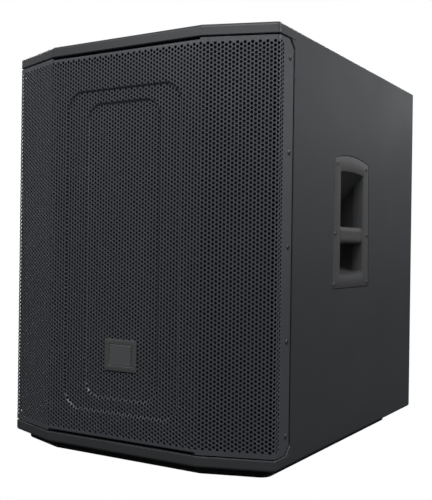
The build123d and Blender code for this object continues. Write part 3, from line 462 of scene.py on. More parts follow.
# Each row: name, colour, roughness and specular level, then the sizes of the finish's own pattern.
FINISHES: dict[str, Finish] = {
    "cabinet_paint": Paint("satin cabinet paint", BLACK_PAINT, 0.42, 0.5),
    "baffle_board": Paint("flat baffle paint", (0.012, 0.012, 0.013), 0.8, 0.3),
    "bare_plywood": Plywood("birch plywood", (0.50, 0.34, 0.18), 0.6),
    "grille_steel": Paint("grille powder coat", (0.060, 0.065, 0.074), 0.34, 0.5, 0.0006, 0.00003),
    "grille_fabric": Woven("acoustic cloth", (0.004, 0.007, 0.016), 0.9, 0.2),
    "badge_plastic": Moulding("badge satin", (0.066, 0.067, 0.069), 0.4, 0.5, 0.0004, 0.00002),
    "badge_gloss": Moulding("badge insert", (0.085, 0.088, 0.094), 0.3, 0.5, 0.0004, 0.00001),
    "black_screw": Metal("blackened screw", (0.13, 0.13, 0.135), 0.38, 0.5, 0.0003, (1.0, 1.0, 1.0)),
    "handle_plastic": Moulding("handle moulding", (0.058, 0.059, 0.062), 0.44),
    "grip_plastic": Moulding("grip moulding", (0.06, 0.061, 0.063), 0.5, 0.5, 0.0009, 0.00007),
    "skid_rubber": Moulding("skid rubber", (0.012, 0.012, 0.0125), 0.75, 0.3, 0.0012, 0.0001),
    "socket_steel": Paint("socket powder coat", (0.03, 0.03, 0.031), 0.45, 0.5, 0.0005, 0.00003),
    "port_plastic": Moulding("port moulding", (0.02, 0.02, 0.02), 0.6),
    # This near-black finish also paints the shade of the flange gaps and the grille's corners.
    "gasket_foam": Moulding("gasket foam", (0.004, 0.004, 0.0045), 0.95, 0.1, 0.0015, 0.0003),
    "basket_casting": Paint("cast frame paint", (0.03, 0.03, 0.03), 0.5, 0.5, 0.0015, 0.0001),
    "surround_cloth": Ringed("doped surround", (0.025, 0.025, 0.026), 0.45, 0.4, pitch=0.0016),
    "cone_pulp": Ringed("pulp cone", (0.03, 0.03, 0.031), 0.8, 0.3, pitch=0.006),
    "coil_former": Ringed("copper winding", (0.6, 0.3, 0.14), 0.35, pitch=0.0005, depth=0.0001, metallic=1.0),
    "spider_cloth": Ringed("varnished spider", (0.35, 0.19, 0.07), 0.6, 0.4, pitch=0.0012, depth=0.0003),
    "magnet_steel": Metal("zinc plate", (0.55, 0.55, 0.53), 0.35),
    "ferrite": Moulding("ferrite", (0.06, 0.06, 0.062), 0.55, 0.5, 0.001, 0.00004),
    "terminal_plastic": Moulding("terminal plastic", (0.05, 0.05, 0.05), 0.5),
    "zinc_bolt": Metal("zinc bolt", (0.5, 0.5, 0.48), 0.35, 0.5, 0.0004, (1.0, 1.0, 1.0)),
    "amp_paint": Paint("module powder coat", (0.03, 0.031, 0.033), 0.45, 0.5, 0.0007, 0.00005),
    "sink_anodised": Metal("black anodising", (0.045, 0.045, 0.048), 0.4, 0.5, 0.0005, (1.0, 1.0, 0.03)),
    "housing_zinc": Metal("spangled zinc", (0.6, 0.61, 0.62), 0.4, 0.5, 0.006, (1.0, 1.0, 1.0)),
    "board_laminate": Moulding("board laminate", (0.01, 0.09, 0.03), 0.35, 0.5, 0.001, 0.00002),
    "winding": Ringed("taped winding", (0.5, 0.26, 0.08), 0.5, 0.5, (-0.07, 0.463), 0.002, 0.0003),
    "capacitor_sleeve": Moulding("capacitor sleeve", (0.01, 0.012, 0.04), 0.3, 0.5, 0.002, 0.00001),
    "bezel_plastic": Moulding("bezel gloss", (0.02, 0.02, 0.021), 0.25, 0.5, 0.0004, 0.00001),
    "display_glass": Glazing("display window", (0.012, 0.02, 0.03), 0.12),
    "shaft_steel": Metal("plated shaft", (0.55, 0.55, 0.55), 0.3, 0.5, 0.0003, (1.0, 0.05, 1.0)),
    "knob_rubber": Moulding("knob rubber", (0.02, 0.02, 0.021), 0.6, 0.4, 0.0006, 0.00004),
    "connector_plastic": Moulding("connector moulding", (0.02, 0.02, 0.021), 0.42, 0.5, 0.0006, 0.00003),
    "latch_plastic": Moulding("latch grey", (0.25, 0.25, 0.25), 0.4),
    "rocker_plastic": Moulding("rocker gloss", (0.02, 0.02, 0.02), 0.25, 0.5, 0.0008, 0.00001),
    "lead_red": Moulding("red lead", (0.35, 0.02, 0.015), 0.4, 0.5, 0.001, 0.00002),
    "lead_black": Moulding("black lead", (0.02, 0.02, 0.02), 0.4, 0.5, 0.001, 0.00002),
}


def dress_frame() -> None:
    """Gives every carried-over CAD node the finish of its own material slot."""
    for row in frame["record"]["subparts"]:
        node = frame["nodes"][row["node"]]
        made = FINISHES[row["material_slot"]].material()
        if not node.material_slots:
            node.data.materials.append(made)
        for place in node.material_slots:
            place.material = made
    log.info("dressed %d frame nodes", len(frame["nodes"]))


# ---------------------------------------------------------------- meshes
@dataclass
class Shell:
    """A mesh being gathered from stretches of points and polygons."""

    points: list[Array] = field(default_factory=list)
    polygons: list[Array] = field(default_factory=list)
    count: int = 0

    def add(self, points: Array, polygons: Array | Sequence[Array]) -> None:
        """Adds points with the polygons that index them.

        Args:
            points: an (n, 3) array.
            polygons: one (m, sides) array, or several.
        """
        several = [polygons] if isinstance(polygons, np.ndarray) else list(polygons)
        self.points.append(points)
        self.polygons += [p + self.count for p in several if len(p)]
        self.count += len(points)

    def welded(self) -> tuple[Array, list[Array]]:
        """Merges points that coincide, and drops or trims polygons that lose corners.

        Returns:
            The points, and the polygons grouped by their number of sides.
        """
        points = np.concatenate(self.points)
        keys = np.round(points / WELD).astype(np.int64)
        _, first, back = np.unique(keys, axis=0, return_index=True, return_inverse=True)
        back = back.ravel()
        kept: list[Array] = []
        for group in self.polygons:
            group = back[group]
            same = group == np.roll(group, -1, axis=1)
            whole = ~same.any(axis=1)
            kept.append(group[whole])
            if group.shape[1] == 4:
                short = same.sum(axis=1) == 1
                if short.any():
                    kept.append(group[short][~same[short]].reshape(-1, 3))
        return points[first], [k for k in kept if len(k)]

    def object(self, name: str, smooth: float = SMOOTH) -> Piece:
        """Makes the object.

        Args:
            name: the object's name.
            smooth: the angle above which an edge stays sharp.

        Returns:
            The new object, at the origin.
        """
        points, groups = self.welded()
        mesh = bpy.data.meshes.new(name)
        corners = np.concatenate([g.ravel() for g in groups]).astype(np.int32)
        sides = np.concatenate([np.full(len(g), g.shape[1], np.int32) for g in groups])
        mesh.vertices.add(len(points))
        mesh.vertices.foreach_set("co", points.astype(np.float32).ravel())
        mesh.loops.add(len(corners))
        mesh.loops.foreach_set("vertex_index", corners)
        mesh.polygons.add(len(sides))
        starts = np.concatenate(([0], np.cumsum(sides)[:-1])).astype(np.int32)
        mesh.polygons.foreach_set("loop_start", starts)
        mesh.polygons.foreach_set("use_smooth", np.ones(len(sides), bool))
        mesh.update(calc_edges=True)
        mesh.validate()
        mesh.set_sharp_from_angle(angle=smooth)
        made = bpy.data.objects.new(name, mesh)
        bpy.context.scene.collection.objects.link(made)
        return made


def fit(piece: Piece, slot: str, body: str = CABINET, replaces: Sequence[str] = ()) -> None:
    """Dresses a finished piece and joins it to the frame.

    Args:
        piece: the new piece.
        slot: the material slot that it takes its finish from.
        body: the CAD body that it rides on.
        replaces: the CAD nodes that it stands for.
    """
    piece.data.materials.clear()
    piece.data.materials.append(FINISHES[slot].material())
    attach(piece, body)
    if replaces:
        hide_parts(*replaces)
    log.info("%s: %d faces on %s", piece.name, len(piece.data.polygons), body)


def grid_quads(rows: int, columns: int, wrap: bool = False) -> Array:
    """Quads between neighbouring points of a grid kept row by row.

    Args:
        rows: how many rows of points.
        columns: how many points in each.
        wrap: whether each row closes on itself.

    Returns:
        An (n, 4) array of point numbers.
    """
    across = columns if wrap else columns - 1
    row, column = np.meshgrid(np.arange(rows - 1), np.arange(across), indexing="ij")
    here = (row * columns + column).ravel()
    beside = (row * columns + (column + 1) % columns).ravel()
    return np.stack([here, beside, beside + columns, here + columns], axis=1)


# ---------------------------------------------------------------- grille
@dataclass(frozen=True)
class Fold:
    """The front's folded line in plan: a middle facet, two slanted ones and two side flanges.

    A place is a distance along the outer face from the middle, and a depth behind it. Each
    stretch is straight or an arc: the heading grows by the curvature times the distance, and
    the position is the integral of the heading.
    """

    front: float
    side: float
    facet_width: float = 0.115
    facet_depth: float = 0.041
    radius: float = 0.006

    def stretches(self) -> Array:
        """The right half's stretches.

        Returns:
            Rows of start distance, x, y, heading and curvature.
        """
        first = atan2(self.facet_depth, self.facet_width)
        second = pi / 2 - first
        cuts = [self.radius * tan(first / 2), self.radius * tan(second / 2)]
        facet = hypot(self.facet_width, self.facet_depth)
        lengths = [
            self.side - self.facet_width - cuts[0],
            self.radius * first,
            facet - cuts[0] - cuts[1],
            self.radius * second,
            1.0,
        ]
        bends = [0.0, 1 / self.radius, 0.0, 1 / self.radius, 0.0]
        rows, start, x, y, heading = [], 0.0, 0.0, self.front, 0.0
        for length, bend in zip(lengths, bends):
            rows.append((start, x, y, heading, bend))
            turn = heading + bend * length
            if bend:
                x += (sin(turn) - sin(heading)) / bend
                y += (cos(heading) - cos(turn)) / bend
            else:
                x, y = x + length * cos(heading), y + length * sin(heading)
            start, heading = start + length, turn
        return np.array(rows)

    def at(self, along: Array, depth: Array | float) -> tuple[Array, Array]:
        """Where places on the folded line are in plan.

        Args:
            along: distances along the outer face, negative to the left.
            depth: how far behind the outer face.

        Returns:
            Their x and y.
        """
        rows = self.stretches()
        side, distance = np.sign(along), np.abs(along)
        which = np.clip(np.searchsorted(rows[:, 0], distance, side="right") - 1, 0, len(rows) - 1)
        start, x, y, heading, bend = rows[which].T
        rest = distance - start
        turn = heading + bend * rest
        curved = np.where(bend > 0, bend, 1.0)
        arc_x = (np.sin(turn) - np.sin(heading)) / curved
        arc_y = (np.cos(heading) - np.cos(turn)) / curved
        x = x + np.where(bend > 0, arc_x, rest * np.cos(heading)) - depth * np.sin(turn)
        y = y + np.where(bend > 0, arc_y, rest * np.sin(heading)) + depth * np.cos(turn)
        return side * x, y

    def along_at_y(self, y: float) -> float:
        """The distance along the outer face to a place on the side flange."""
        start, _, y_start, _, _ = self.stretches()[-1]
        return start + y - y_start


@dataclass(frozen=True)
class Press:
    """One pressed step of the middle facet: a rounded rectangle set back behind the sheet."""

    half_width: float
    low: float
    high: float
    radius: float

    def inside(self, along: Array, up: Array) -> Array:
        """How far places are inside the outline, as the rounded rectangle's signed distance.

        Args:
            along: distances from the middle.
            up: heights.

        Returns:
            The distances, positive inside.
        """
        middle, half = (self.low + self.high) / 2, (self.high - self.low) / 2
        across = np.abs(along) - self.half_width + self.radius
        above = np.abs(up - middle) - half + self.radius
        outside = np.hypot(np.maximum(across, 0), np.maximum(above, 0))
        return self.radius - outside - np.minimum(np.maximum(across, above), 0)


@dataclass
class Grille:
    """The perforated steel grille: one folded sheet in five bands of columns, with its end tabs."""

    fold: Fold
    low: float
    high: float
    flange_end: float
    pitch: float = 0.00667
    hole: float = 0.00245
    rim: float = 0.00025
    thickness: float = 0.0015
    chamfer: float = 0.014
    rows: int = 94
    last_column: int = 49
    bands: int = 5
    ramp: float = 0.0032
    step: float = 0.003
    tab_depth: float = 0.012
    tab_bend: float = 0.0022
    tab_drop: float = 0.002
    tab_half: float = 0.1485

    def __post_init__(self) -> None:
        """Works out what follows from the sizes."""
        self.end = self.fold.along_at_y(self.flange_end)
        self.column = self.pitch * sqrt(3) / 2
        self.middle = (self.low + self.high) / 2
        self.presses = (
            Press(half_width=0.117, low=self.low + 0.0425, high=self.high - 0.061, radius=0.035),
            Press(half_width=0.075, low=self.low + 0.0655, high=self.high - 0.0835, radius=0.030),
        )

    def depth(self, along: Array, up: Array) -> Array:
        """How far the outer face is pressed back: a smooth step across each outline's ramp.

        Args:
            along: distances along the sheet.
            up: heights.

        Returns:
            The depths.
        """
        total = np.zeros(np.shape(along))
        for press in self.presses:
            share = np.clip(press.inside(along, up) / self.ramp, 0, 1)
            total = total + self.step * share * share * (3 - 2 * share)
        return total

    def placed(self, along: Array, up: Array, depth: Array | float) -> Array:
        """Points of the folded sheet.

        Args:
            along: distances along the sheet.
            up: heights.
            depth: how far behind the sheet's own outer face.

        Returns:
            An (n, 3) array.
        """
        x, y = self.fold.at(along, self.depth(along, up) + depth)
        return np.stack([x, y, up], axis=1)

    def rows_in(self, column: int) -> int:
        """How many holes a column has; every other column is half a pitch lower and one shorter."""
        return self.rows - (column % 2)

    def centres(self, columns: range) -> Array:
        """The hole centres of a band.

        Args:
            columns: the band's columns, counted from the middle.

        Returns:
            An (n, 2) array of distance along and height.
        """
        stacks = []
        for column in columns:
            count = self.rows_in(column)
            up = self.middle + (np.arange(count) - (count - 1) / 2) * self.pitch
            stacks.append(np.stack([np.full(count, column * self.column), up], axis=1))
        return np.concatenate(stacks)

    def rings(self, columns: range) -> tuple[Array, Array]:
        """Flat places for each hole: those on its six-sided cell's edge, at its corners and between them.

        Args:
            columns: the band's columns.

        Returns:
            The cells' boundary places as (cells, 12, 2), and the holes' centres as (cells, 1, 2).
        """
        reach = self.pitch / sqrt(3)
        radius = np.where(np.arange(HOLE_SIDES) % 2, reach * cos(pi / 6), reach)
        centres = self.centres(columns)[:, None, :]
        return centres + radius[:, None] * circle(1.0, count=HOLE_SIDES), centres

    def sheet(self, columns: range, strips: Sequence[tuple[Array, Array]]) -> Shell:
        """A band of the sheet: its front, its back, the holes' walls and the walls of its open edges.

        The flat pattern is the cells and the plain strips, all turning the same way. An edge that
        only one of them uses is an open edge, and gets a wall from the front to the back.

        Args:
            columns: the band's columns.
            strips: pairs of matching lines of places, the second to the left of the first's way.

        Returns:
            The closed band.
        """
        cells, centres = self.rings(columns)
        flat = [cells.reshape(-1, 2)] + [np.concatenate(pair) for pair in strips]
        starts = np.cumsum([0] + [len(part) for part in flat])
        quads = []
        for start, (line, _) in zip(starts[1:], strips):
            count = len(line)
            here = start + np.arange(count - 1)
            quads.append(np.stack([here, here + 1, here + 1 + count, here + count], axis=1))
        keys = np.round(np.concatenate(flat) / WELD).astype(np.int64)
        _, first, back = np.unique(keys, axis=0, return_index=True, return_inverse=True)
        back, places = back.ravel(), np.concatenate(flat)[first]
        quads = back[np.concatenate(quads)]
        corner = back[np.arange(cells.shape[0] * HOLE_SIDES)].reshape(-1, HOLE_SIDES)
        edges = np.concatenate([
            np.stack([corner, np.roll(corner, -1, axis=1)], axis=2).reshape(-1, 2),
            np.stack([quads, np.roll(quads, -1, axis=1)], axis=2).reshape(-1, 2),
        ])
        edges = edges[edges[:, 0] != edges[:, 1]]
        _, where, uses = np.unique(np.sort(edges, axis=1), axis=0, return_index=True, return_counts=True)
        rim = edges[where[uses == 1]]
        count = len(places)
        wall = np.stack([rim[:, 1], rim[:, 0], rim[:, 0] + count, rim[:, 1] + count], axis=1)
        shell = Shell()
        faces = [self.placed(places[:, 0], places[:, 1], depth) for depth in (0.0, self.thickness)]
        shell.add(np.concatenate(faces), [quads, quads[:, ::-1] + count, wall])
        self.bore(shell, centres, cells)
        return shell

    def bore(self, shell: Shell, centres: Array, cells: Array) -> None:
        """Adds each cell's faces: the land round the hole, its softened rim, its wall and its back.

        Args:
            shell: what they are added to.
            centres: the holes' centres.
            cells: the cells' boundary places.
        """
        round_it = circle(1.0, count=HOLE_SIDES)
        rings = [
            (cells, 0.0),
            (centres + (self.hole + self.rim) * round_it, 0.0),
            (centres + self.hole * round_it, self.rim),
            (centres + self.hole * round_it, self.thickness),
            (cells, self.thickness),
        ]
        points = [self.placed(ring[..., 0].ravel(), ring[..., 1].ravel(), depth) for ring, depth in rings]
        count = cells.shape[0] * HOLE_SIDES
        here = np.arange(count).reshape(-1, HOLE_SIDES)
        beside = np.roll(here, -1, axis=1)
        across = np.stack([here, beside, beside + count, here + count], axis=2)
        lands = [across + k * count for k in range(len(rings) - 1)]
        shell.add(np.concatenate(points), np.concatenate(lands).reshape(-1, 4))

    def edge_line(self, columns: range, top: bool) -> Array:
        """The field's upper or lower boundary: over each cell's flat, and down the sides of the taller ones.

        Args:
            columns: the band's columns.
            top: the upper boundary rather than the lower.

        Returns:
            An (n, 2) array of places, from left to right.
        """
        reach, flip = self.pitch / sqrt(3), 1 if top else -1
        flat = reach * cos(pi / 6)
        line = []
        for column in columns:
            tall = self.rows_in(column) == self.rows
            corners = [(120, reach), (90, flat), (60, reach)]
            if tall:
                before = [(180, reach), (150, flat)] if column > -self.last_column else []
                corners = before + corners + [(30, flat), (0, reach)]
            along = column * self.column
            up = self.middle + flip * (self.rows_in(column) - 1) / 2 * self.pitch
            for angle, radius in corners:
                line.append((along + radius * cos(radians(angle)), up + flip * radius * sin(radians(angle))))
        line = np.array(line)
        fresh = np.concatenate([[True], np.hypot(*np.diff(line, axis=0).T) > WELD])
        return line[fresh]

    def side_line(self, side: int) -> Array:
        """The field's zigzag boundary beside its outermost column, from low to high.

        Args:
            side: 1 for the right edge, -1 for the left.

        Returns:
            An (n, 2) array of places.
        """
        reach, count = self.pitch / sqrt(3), self.rows_in(self.last_column)
        flat = reach * cos(pi / 6)
        angle = np.radians([-60, -30, 0, 30])
        radius = np.array([reach, flat, reach, flat])
        rows = (np.arange(count) - (count - 1) / 2)[:, None] * self.pitch
        up = self.middle + rows + radius * np.sin(angle)
        along = self.last_column * self.column + radius * np.cos(angle) + np.zeros((count, 1))
        end = [self.last_column * self.column + reach / 2, self.middle + count / 2 * self.pitch]
        line = np.concatenate([np.stack([along.ravel(), up.ravel()], axis=1), [end]])
        return line * np.array([side, 1])

    def edge_of(self, along: Array, top: bool) -> Array:
        """The sheet's upper or lower edge: lower by the tab's drop and bend on the middle facet.

        Args:
            along: distances along the sheet.
            top: the upper edge rather than the lower.

        Returns:
            The edge's heights.
        """
        drop = np.where(np.abs(along) < self.tab_half, self.tab_drop + self.tab_bend, 0.0)
        return self.high - drop if top else self.low + drop

    def band(self, number: int) -> Piece:
        """One band of columns as a closed piece.

        Args:
            number: which band, from the left.

        Returns:
            The piece.
        """
        cuts = np.round(np.linspace(-self.last_column, self.last_column + 1, self.bands + 1)).astype(int)
        columns = range(cuts[number], cuts[number + 1])
        strips = []
        for top in (True, False):
            line = self.edge_line(columns, top)
            edge = np.stack([line[:, 0], self.edge_of(line[:, 0], top)], axis=1)
            middle = line + (edge - line) * 0.5
            strips += [(line, middle), (middle, edge)] if top else [(edge, middle), (middle, line)]
        for side, last in ((-1, number == 0), (1, number == self.bands - 1)):
            if last:
                strips += self.outer_margin(side)
        return self.sheet(columns, strips).object(f"grille_sheet_{number + 1}", SHEET_SMOOTH)

    def outer_margin(self, side: int) -> list[tuple[Array, Array]]:
        """The plain part of a side flange, with its chamfered corners.

        Args:
            side: 1 for the right flange, -1 for the left.

        Returns:
            Its strips.
        """
        line = self.side_line(side)
        ends = [np.array([line[0, 0], self.low]), (line[0] + [line[0, 0], self.low]) / 2]
        tops = [(line[-1] + [line[-1, 0], self.high]) / 2, np.array([line[-1, 0], self.high])]
        inner = np.concatenate([ends, line, tops])
        cut = np.maximum(self.chamfer - np.minimum(inner[:, 1] - self.low, self.high - inner[:, 1]), 0)
        outer = np.stack([side * (self.end - cut), inner[:, 1]], axis=1)
        stations = [inner + (outer - inner) * share for share in (0.0, 0.5, 1.0)]
        pairs = list(zip(stations, stations[1:]))
        return [(b, a) for a, b in pairs] if side > 0 else pairs

    def tab(self, top: bool) -> Piece:
        """The tab folded back from the middle facet's end: a quarter bend, then a flat.

        The profile is the sheet's outer face as (height, depth) with its inner face a thickness
        inside it, carried straight across the facet.

        Args:
            top: the upper tab rather than the lower.

        Returns:
            The piece.
        """
        bend, sheet = self.tab_bend, self.thickness
        turn = np.linspace(0, pi / 2, BEND_POINTS)
        outer = np.stack([bend * np.sin(turn), bend - bend * np.cos(turn)], axis=1)
        inner = np.stack([(bend - sheet) * np.sin(turn), bend - (bend - sheet) * np.cos(turn)], axis=1)
        outer = np.concatenate([outer, [[bend, self.tab_depth]]])
        inner = np.concatenate([inner, [[bend - sheet, self.tab_depth]]])
        profile = np.concatenate([outer, inner[::-1]])
        flip = 1 if top else -1
        root = float(self.edge_of(np.zeros(1), top)[0])
        across = np.array([-self.tab_half, self.tab_half])
        up = root + flip * profile[:, 0]
        points = np.concatenate([
            np.stack([np.full(len(profile), x), self.fold.front + profile[:, 1], up], axis=1) for x in across
        ])
        quads = grid_quads(2, len(profile), wrap=True)
        ends = np.stack([np.arange(len(profile))[::-1], np.arange(len(profile)) + len(profile)])
        if not top:
            quads, ends = quads[:, ::-1], ends[:, ::-1]
        shell = Shell()
        shell.add(points, [quads, ends])
        return shell.object(f"grille_tab_{'top' if top else 'bottom'}")

    def build(self) -> None:
        """Makes and fits the whole grille."""
        for number in range(self.bands):
            fit(self.band(number), "grille_steel", replaces=("grille",))
        for top in (True, False):
            fit(self.tab(top), "grille_steel", replaces=("grille",))


@dataclass
class SpeakerCloth:
    """The cloth stretched behind the grille's facets."""

    fold: Fold
    low: float
    high: float
    behind: float = 0.0084
    thickness: float = 0.0009
    reach: float = 0.262
    columns: int = 97
    rows: int = 5
    samples: int = 2001

    def build(self) -> None:
        """Makes the cloth: two faces a thickness apart, following the folded line at a depth."""
        along = np.linspace(-self.reach, self.reach, self.columns)
        up = np.linspace(self.low, self.high, self.rows)
        grid_along, grid_up = (a.ravel() for a in np.meshgrid(along, up))
        faces = []
        for depth in (self.behind, self.behind + self.thickness):
            x, y = self.fold.at(grid_along, depth)
            faces.append(np.stack([x, y, grid_up], axis=1))
        quads = grid_quads(self.rows, self.columns)
        count = len(grid_along)
        rim = np.concatenate([
            np.arange(self.columns),
            (np.arange(1, self.rows) + 1) * self.columns - 1,
            count - 2 - np.arange(self.columns - 1),
            (np.arange(self.rows - 2)[::-1] + 1) * self.columns,
        ])
        wall = np.stack([rim, rim + count, np.roll(rim, -1) + count, np.roll(rim, -1)], axis=1)
        shell = Shell()
        shell.add(np.concatenate(faces), [quads, quads[:, ::-1] + count, wall])
        made = shell.object("speaker_cloth")
        self.lay_map(made)
        fit(made, "grille_fabric", replaces=("grille_cloth",))

    def lay_map(self, piece: Piece) -> None:
        """Gives the cloth a UV map in metres: along the fold, and up.

        Args:
            piece: the cloth.
        """
        mesh = piece.data
        points = np.empty(len(mesh.vertices) * 3, np.float32)
        mesh.vertices.foreach_get("co", points)
        points = points.reshape(-1, 3)
        table = np.linspace(-self.reach, self.reach, self.samples)
        along = np.interp(points[:, 0], self.fold.at(table, self.behind)[0], table) + self.reach
        corners = np.empty(len(mesh.loops), np.int32)
        mesh.loops.foreach_get("vertex_index", corners)
        places = np.stack([along[corners], points[corners, 2]], axis=1)
        mesh.uv_layers.new(name=UV_MAP).data.foreach_set("uv", places.astype(np.float32).ravel())


class Facing(Enum):
    """Which way a part's face looks, as the directions of its own right, up and out."""

    RIGHT = ((0, 1, 0), (0, 0, 1), (1, 0, 0))
    LEFT = ((0, -1, 0), (0, 0, 1), (-1, 0, 0))
    FRONT = ((1, 0, 0), (0, 0, 1), (0, -1, 0))
    REAR = ((-1, 0, 0), (0, 0, 1), (0, 1, 0))
    UP = ((1, 0, 0), (0, 1, 0), (0, 0, 1))
    DOWN = ((1, 0, 0), (0, -1, 0), (0, 0, -1))

    def ring(self, origin: Sequence[float], loop: Array, out: float) -> Array:
        """A flat loop set square to this direction.

        Args:
            origin: where the loop's own middle is, in metres.
            loop: an (n, 2) array of places to the right and up, turning left.
            out: how far out of the origin it stands.

        Returns:
            An (n, 3) array.
        """
        right, up, ahead = (np.array(direction, float) for direction in self.value)
        return np.asarray(origin, float) + loop[:, :1] * right + loop[:, 1:] * up + out * ahead


def loft(shell: Shell, rings: Sequence[Array]) -> None:
    """Adds a closed body through a row of matching rings, with flat ends.

    Neighbouring rings are joined point to point. A ring that is nearer the axis than the one
    before it, at the same distance out, gives a face that looks out.

    Args:
        shell: what it is added to.
        rings: (n, 3) loops that turn left seen from ahead, from the back to the face.
    """
    count, last = len(rings[0]), (len(rings) - 1) * len(rings[0])
    ends = np.stack([np.arange(count)[::-1], np.arange(count) + last])
    shell.add(np.concatenate(rings), [grid_quads(len(rings), count, wrap=True), ends])


def lofted(
    name: str,
    facing: Facing,
    origin: Sequence[float],
    steps: Sequence[tuple[Array, float]],
    smooth: float = SMOOTH,
) -> Piece:
    """A closed piece through flat loops that are all set square to one direction.

    Args:
        name: the piece's name.
        facing: which way it looks.
        origin: where the loops' own middle is.
        steps: each loop, and how far out of the origin it stands, from the back to the face.
        smooth: the angle above which an edge stays sharp.

    Returns:
        The piece.
    """
    shell = Shell()
    loft(shell, [facing.ring(origin, loop, out) for loop, out in steps])
    return shell.object(name, smooth)


def rounded_loop(corners: Sequence[Sequence[float]], radius: float, bow: float = 0.0) -> Array:
    """An outline with four rounded corners, always of the same number of points.

    A corner's arc is centred the radius over the sine of its half angle along its bisector. The
    bow raises a place by its share of the way up, times one less its squared share across.

    Args:
        corners: the four corners, turning left from the lower left.
        radius: the corners' radius.
        bow: how far the upper side's middle is raised.

    Returns:
        An (n, 2) array.
    """
    places = np.array(corners, float)
    line = []
    for before, here, after in zip(np.roll(places, 1, axis=0), places, np.roll(places, -1, axis=0)):
        back, ahead = ((there - here) / np.hypot(*(there - here)) for there in (before, after))
        half = np.arccos(np.clip(back @ ahead, -1, 1)) / 2
        middle = here + (back + ahead) / np.hypot(*(back + ahead)) * radius / sin(half)
        spoke = here + back * radius / np.tan(half) - middle
        turn = np.linspace(0, pi - 2 * half, ARC_POINTS)
        x = middle[0] + spoke[0] * np.cos(turn) - spoke[1] * np.sin(turn)
        y = middle[1] + spoke[0] * np.sin(turn) + spoke[1] * np.cos(turn)
        line.append(np.stack([x, y], axis=1))
    whole = []
    for arc, following in zip(line, line[1:] + line[:1]):
        share = np.linspace(0, 1, SIDE_POINTS)[1:-1, None]
        whole += [arc, arc[-1] + (following[0] - arc[-1]) * share]
    loop = np.concatenate(whole)
    low, high = loop.min(axis=0), loop.max(axis=0)
    across = (2 * loop[:, 0] - low[0] - high[0]) / (high[0] - low[0])
    loop[:, 1] += bow * (1 - across**2) * (loop[:, 1] - low[1]) / (high[1] - low[1])
    return loop


def oblong(half_width: float, half_height: float, radius: float) -> Array:
    """A rounded rectangle about the origin, as a loop."""
    w, h = half_width, half_height
    return rounded_loop(((-w, -h), (w, -h), (w, h), (-w, h)), radius)


def circle(radius: float, lobes: int = 0, swell: float = 0.0, count: int = 24) -> Array:
    """A loop about the origin whose radius swells and shrinks with the cosine of its turn.

    Args:
        radius: the middle radius.
        lobes: how many lobes go round it.
        swell: how far it swells, as a share of the radius.
        count: how many points it has.

    Returns:
        A (count, 2) array.
    """
    turn = np.arange(count) * 2 * pi / count
    reach = radius * (1 + swell * np.cos(lobes * turn))
    return np.stack([reach * np.cos(turn), reach * np.sin(turn)], axis=1)


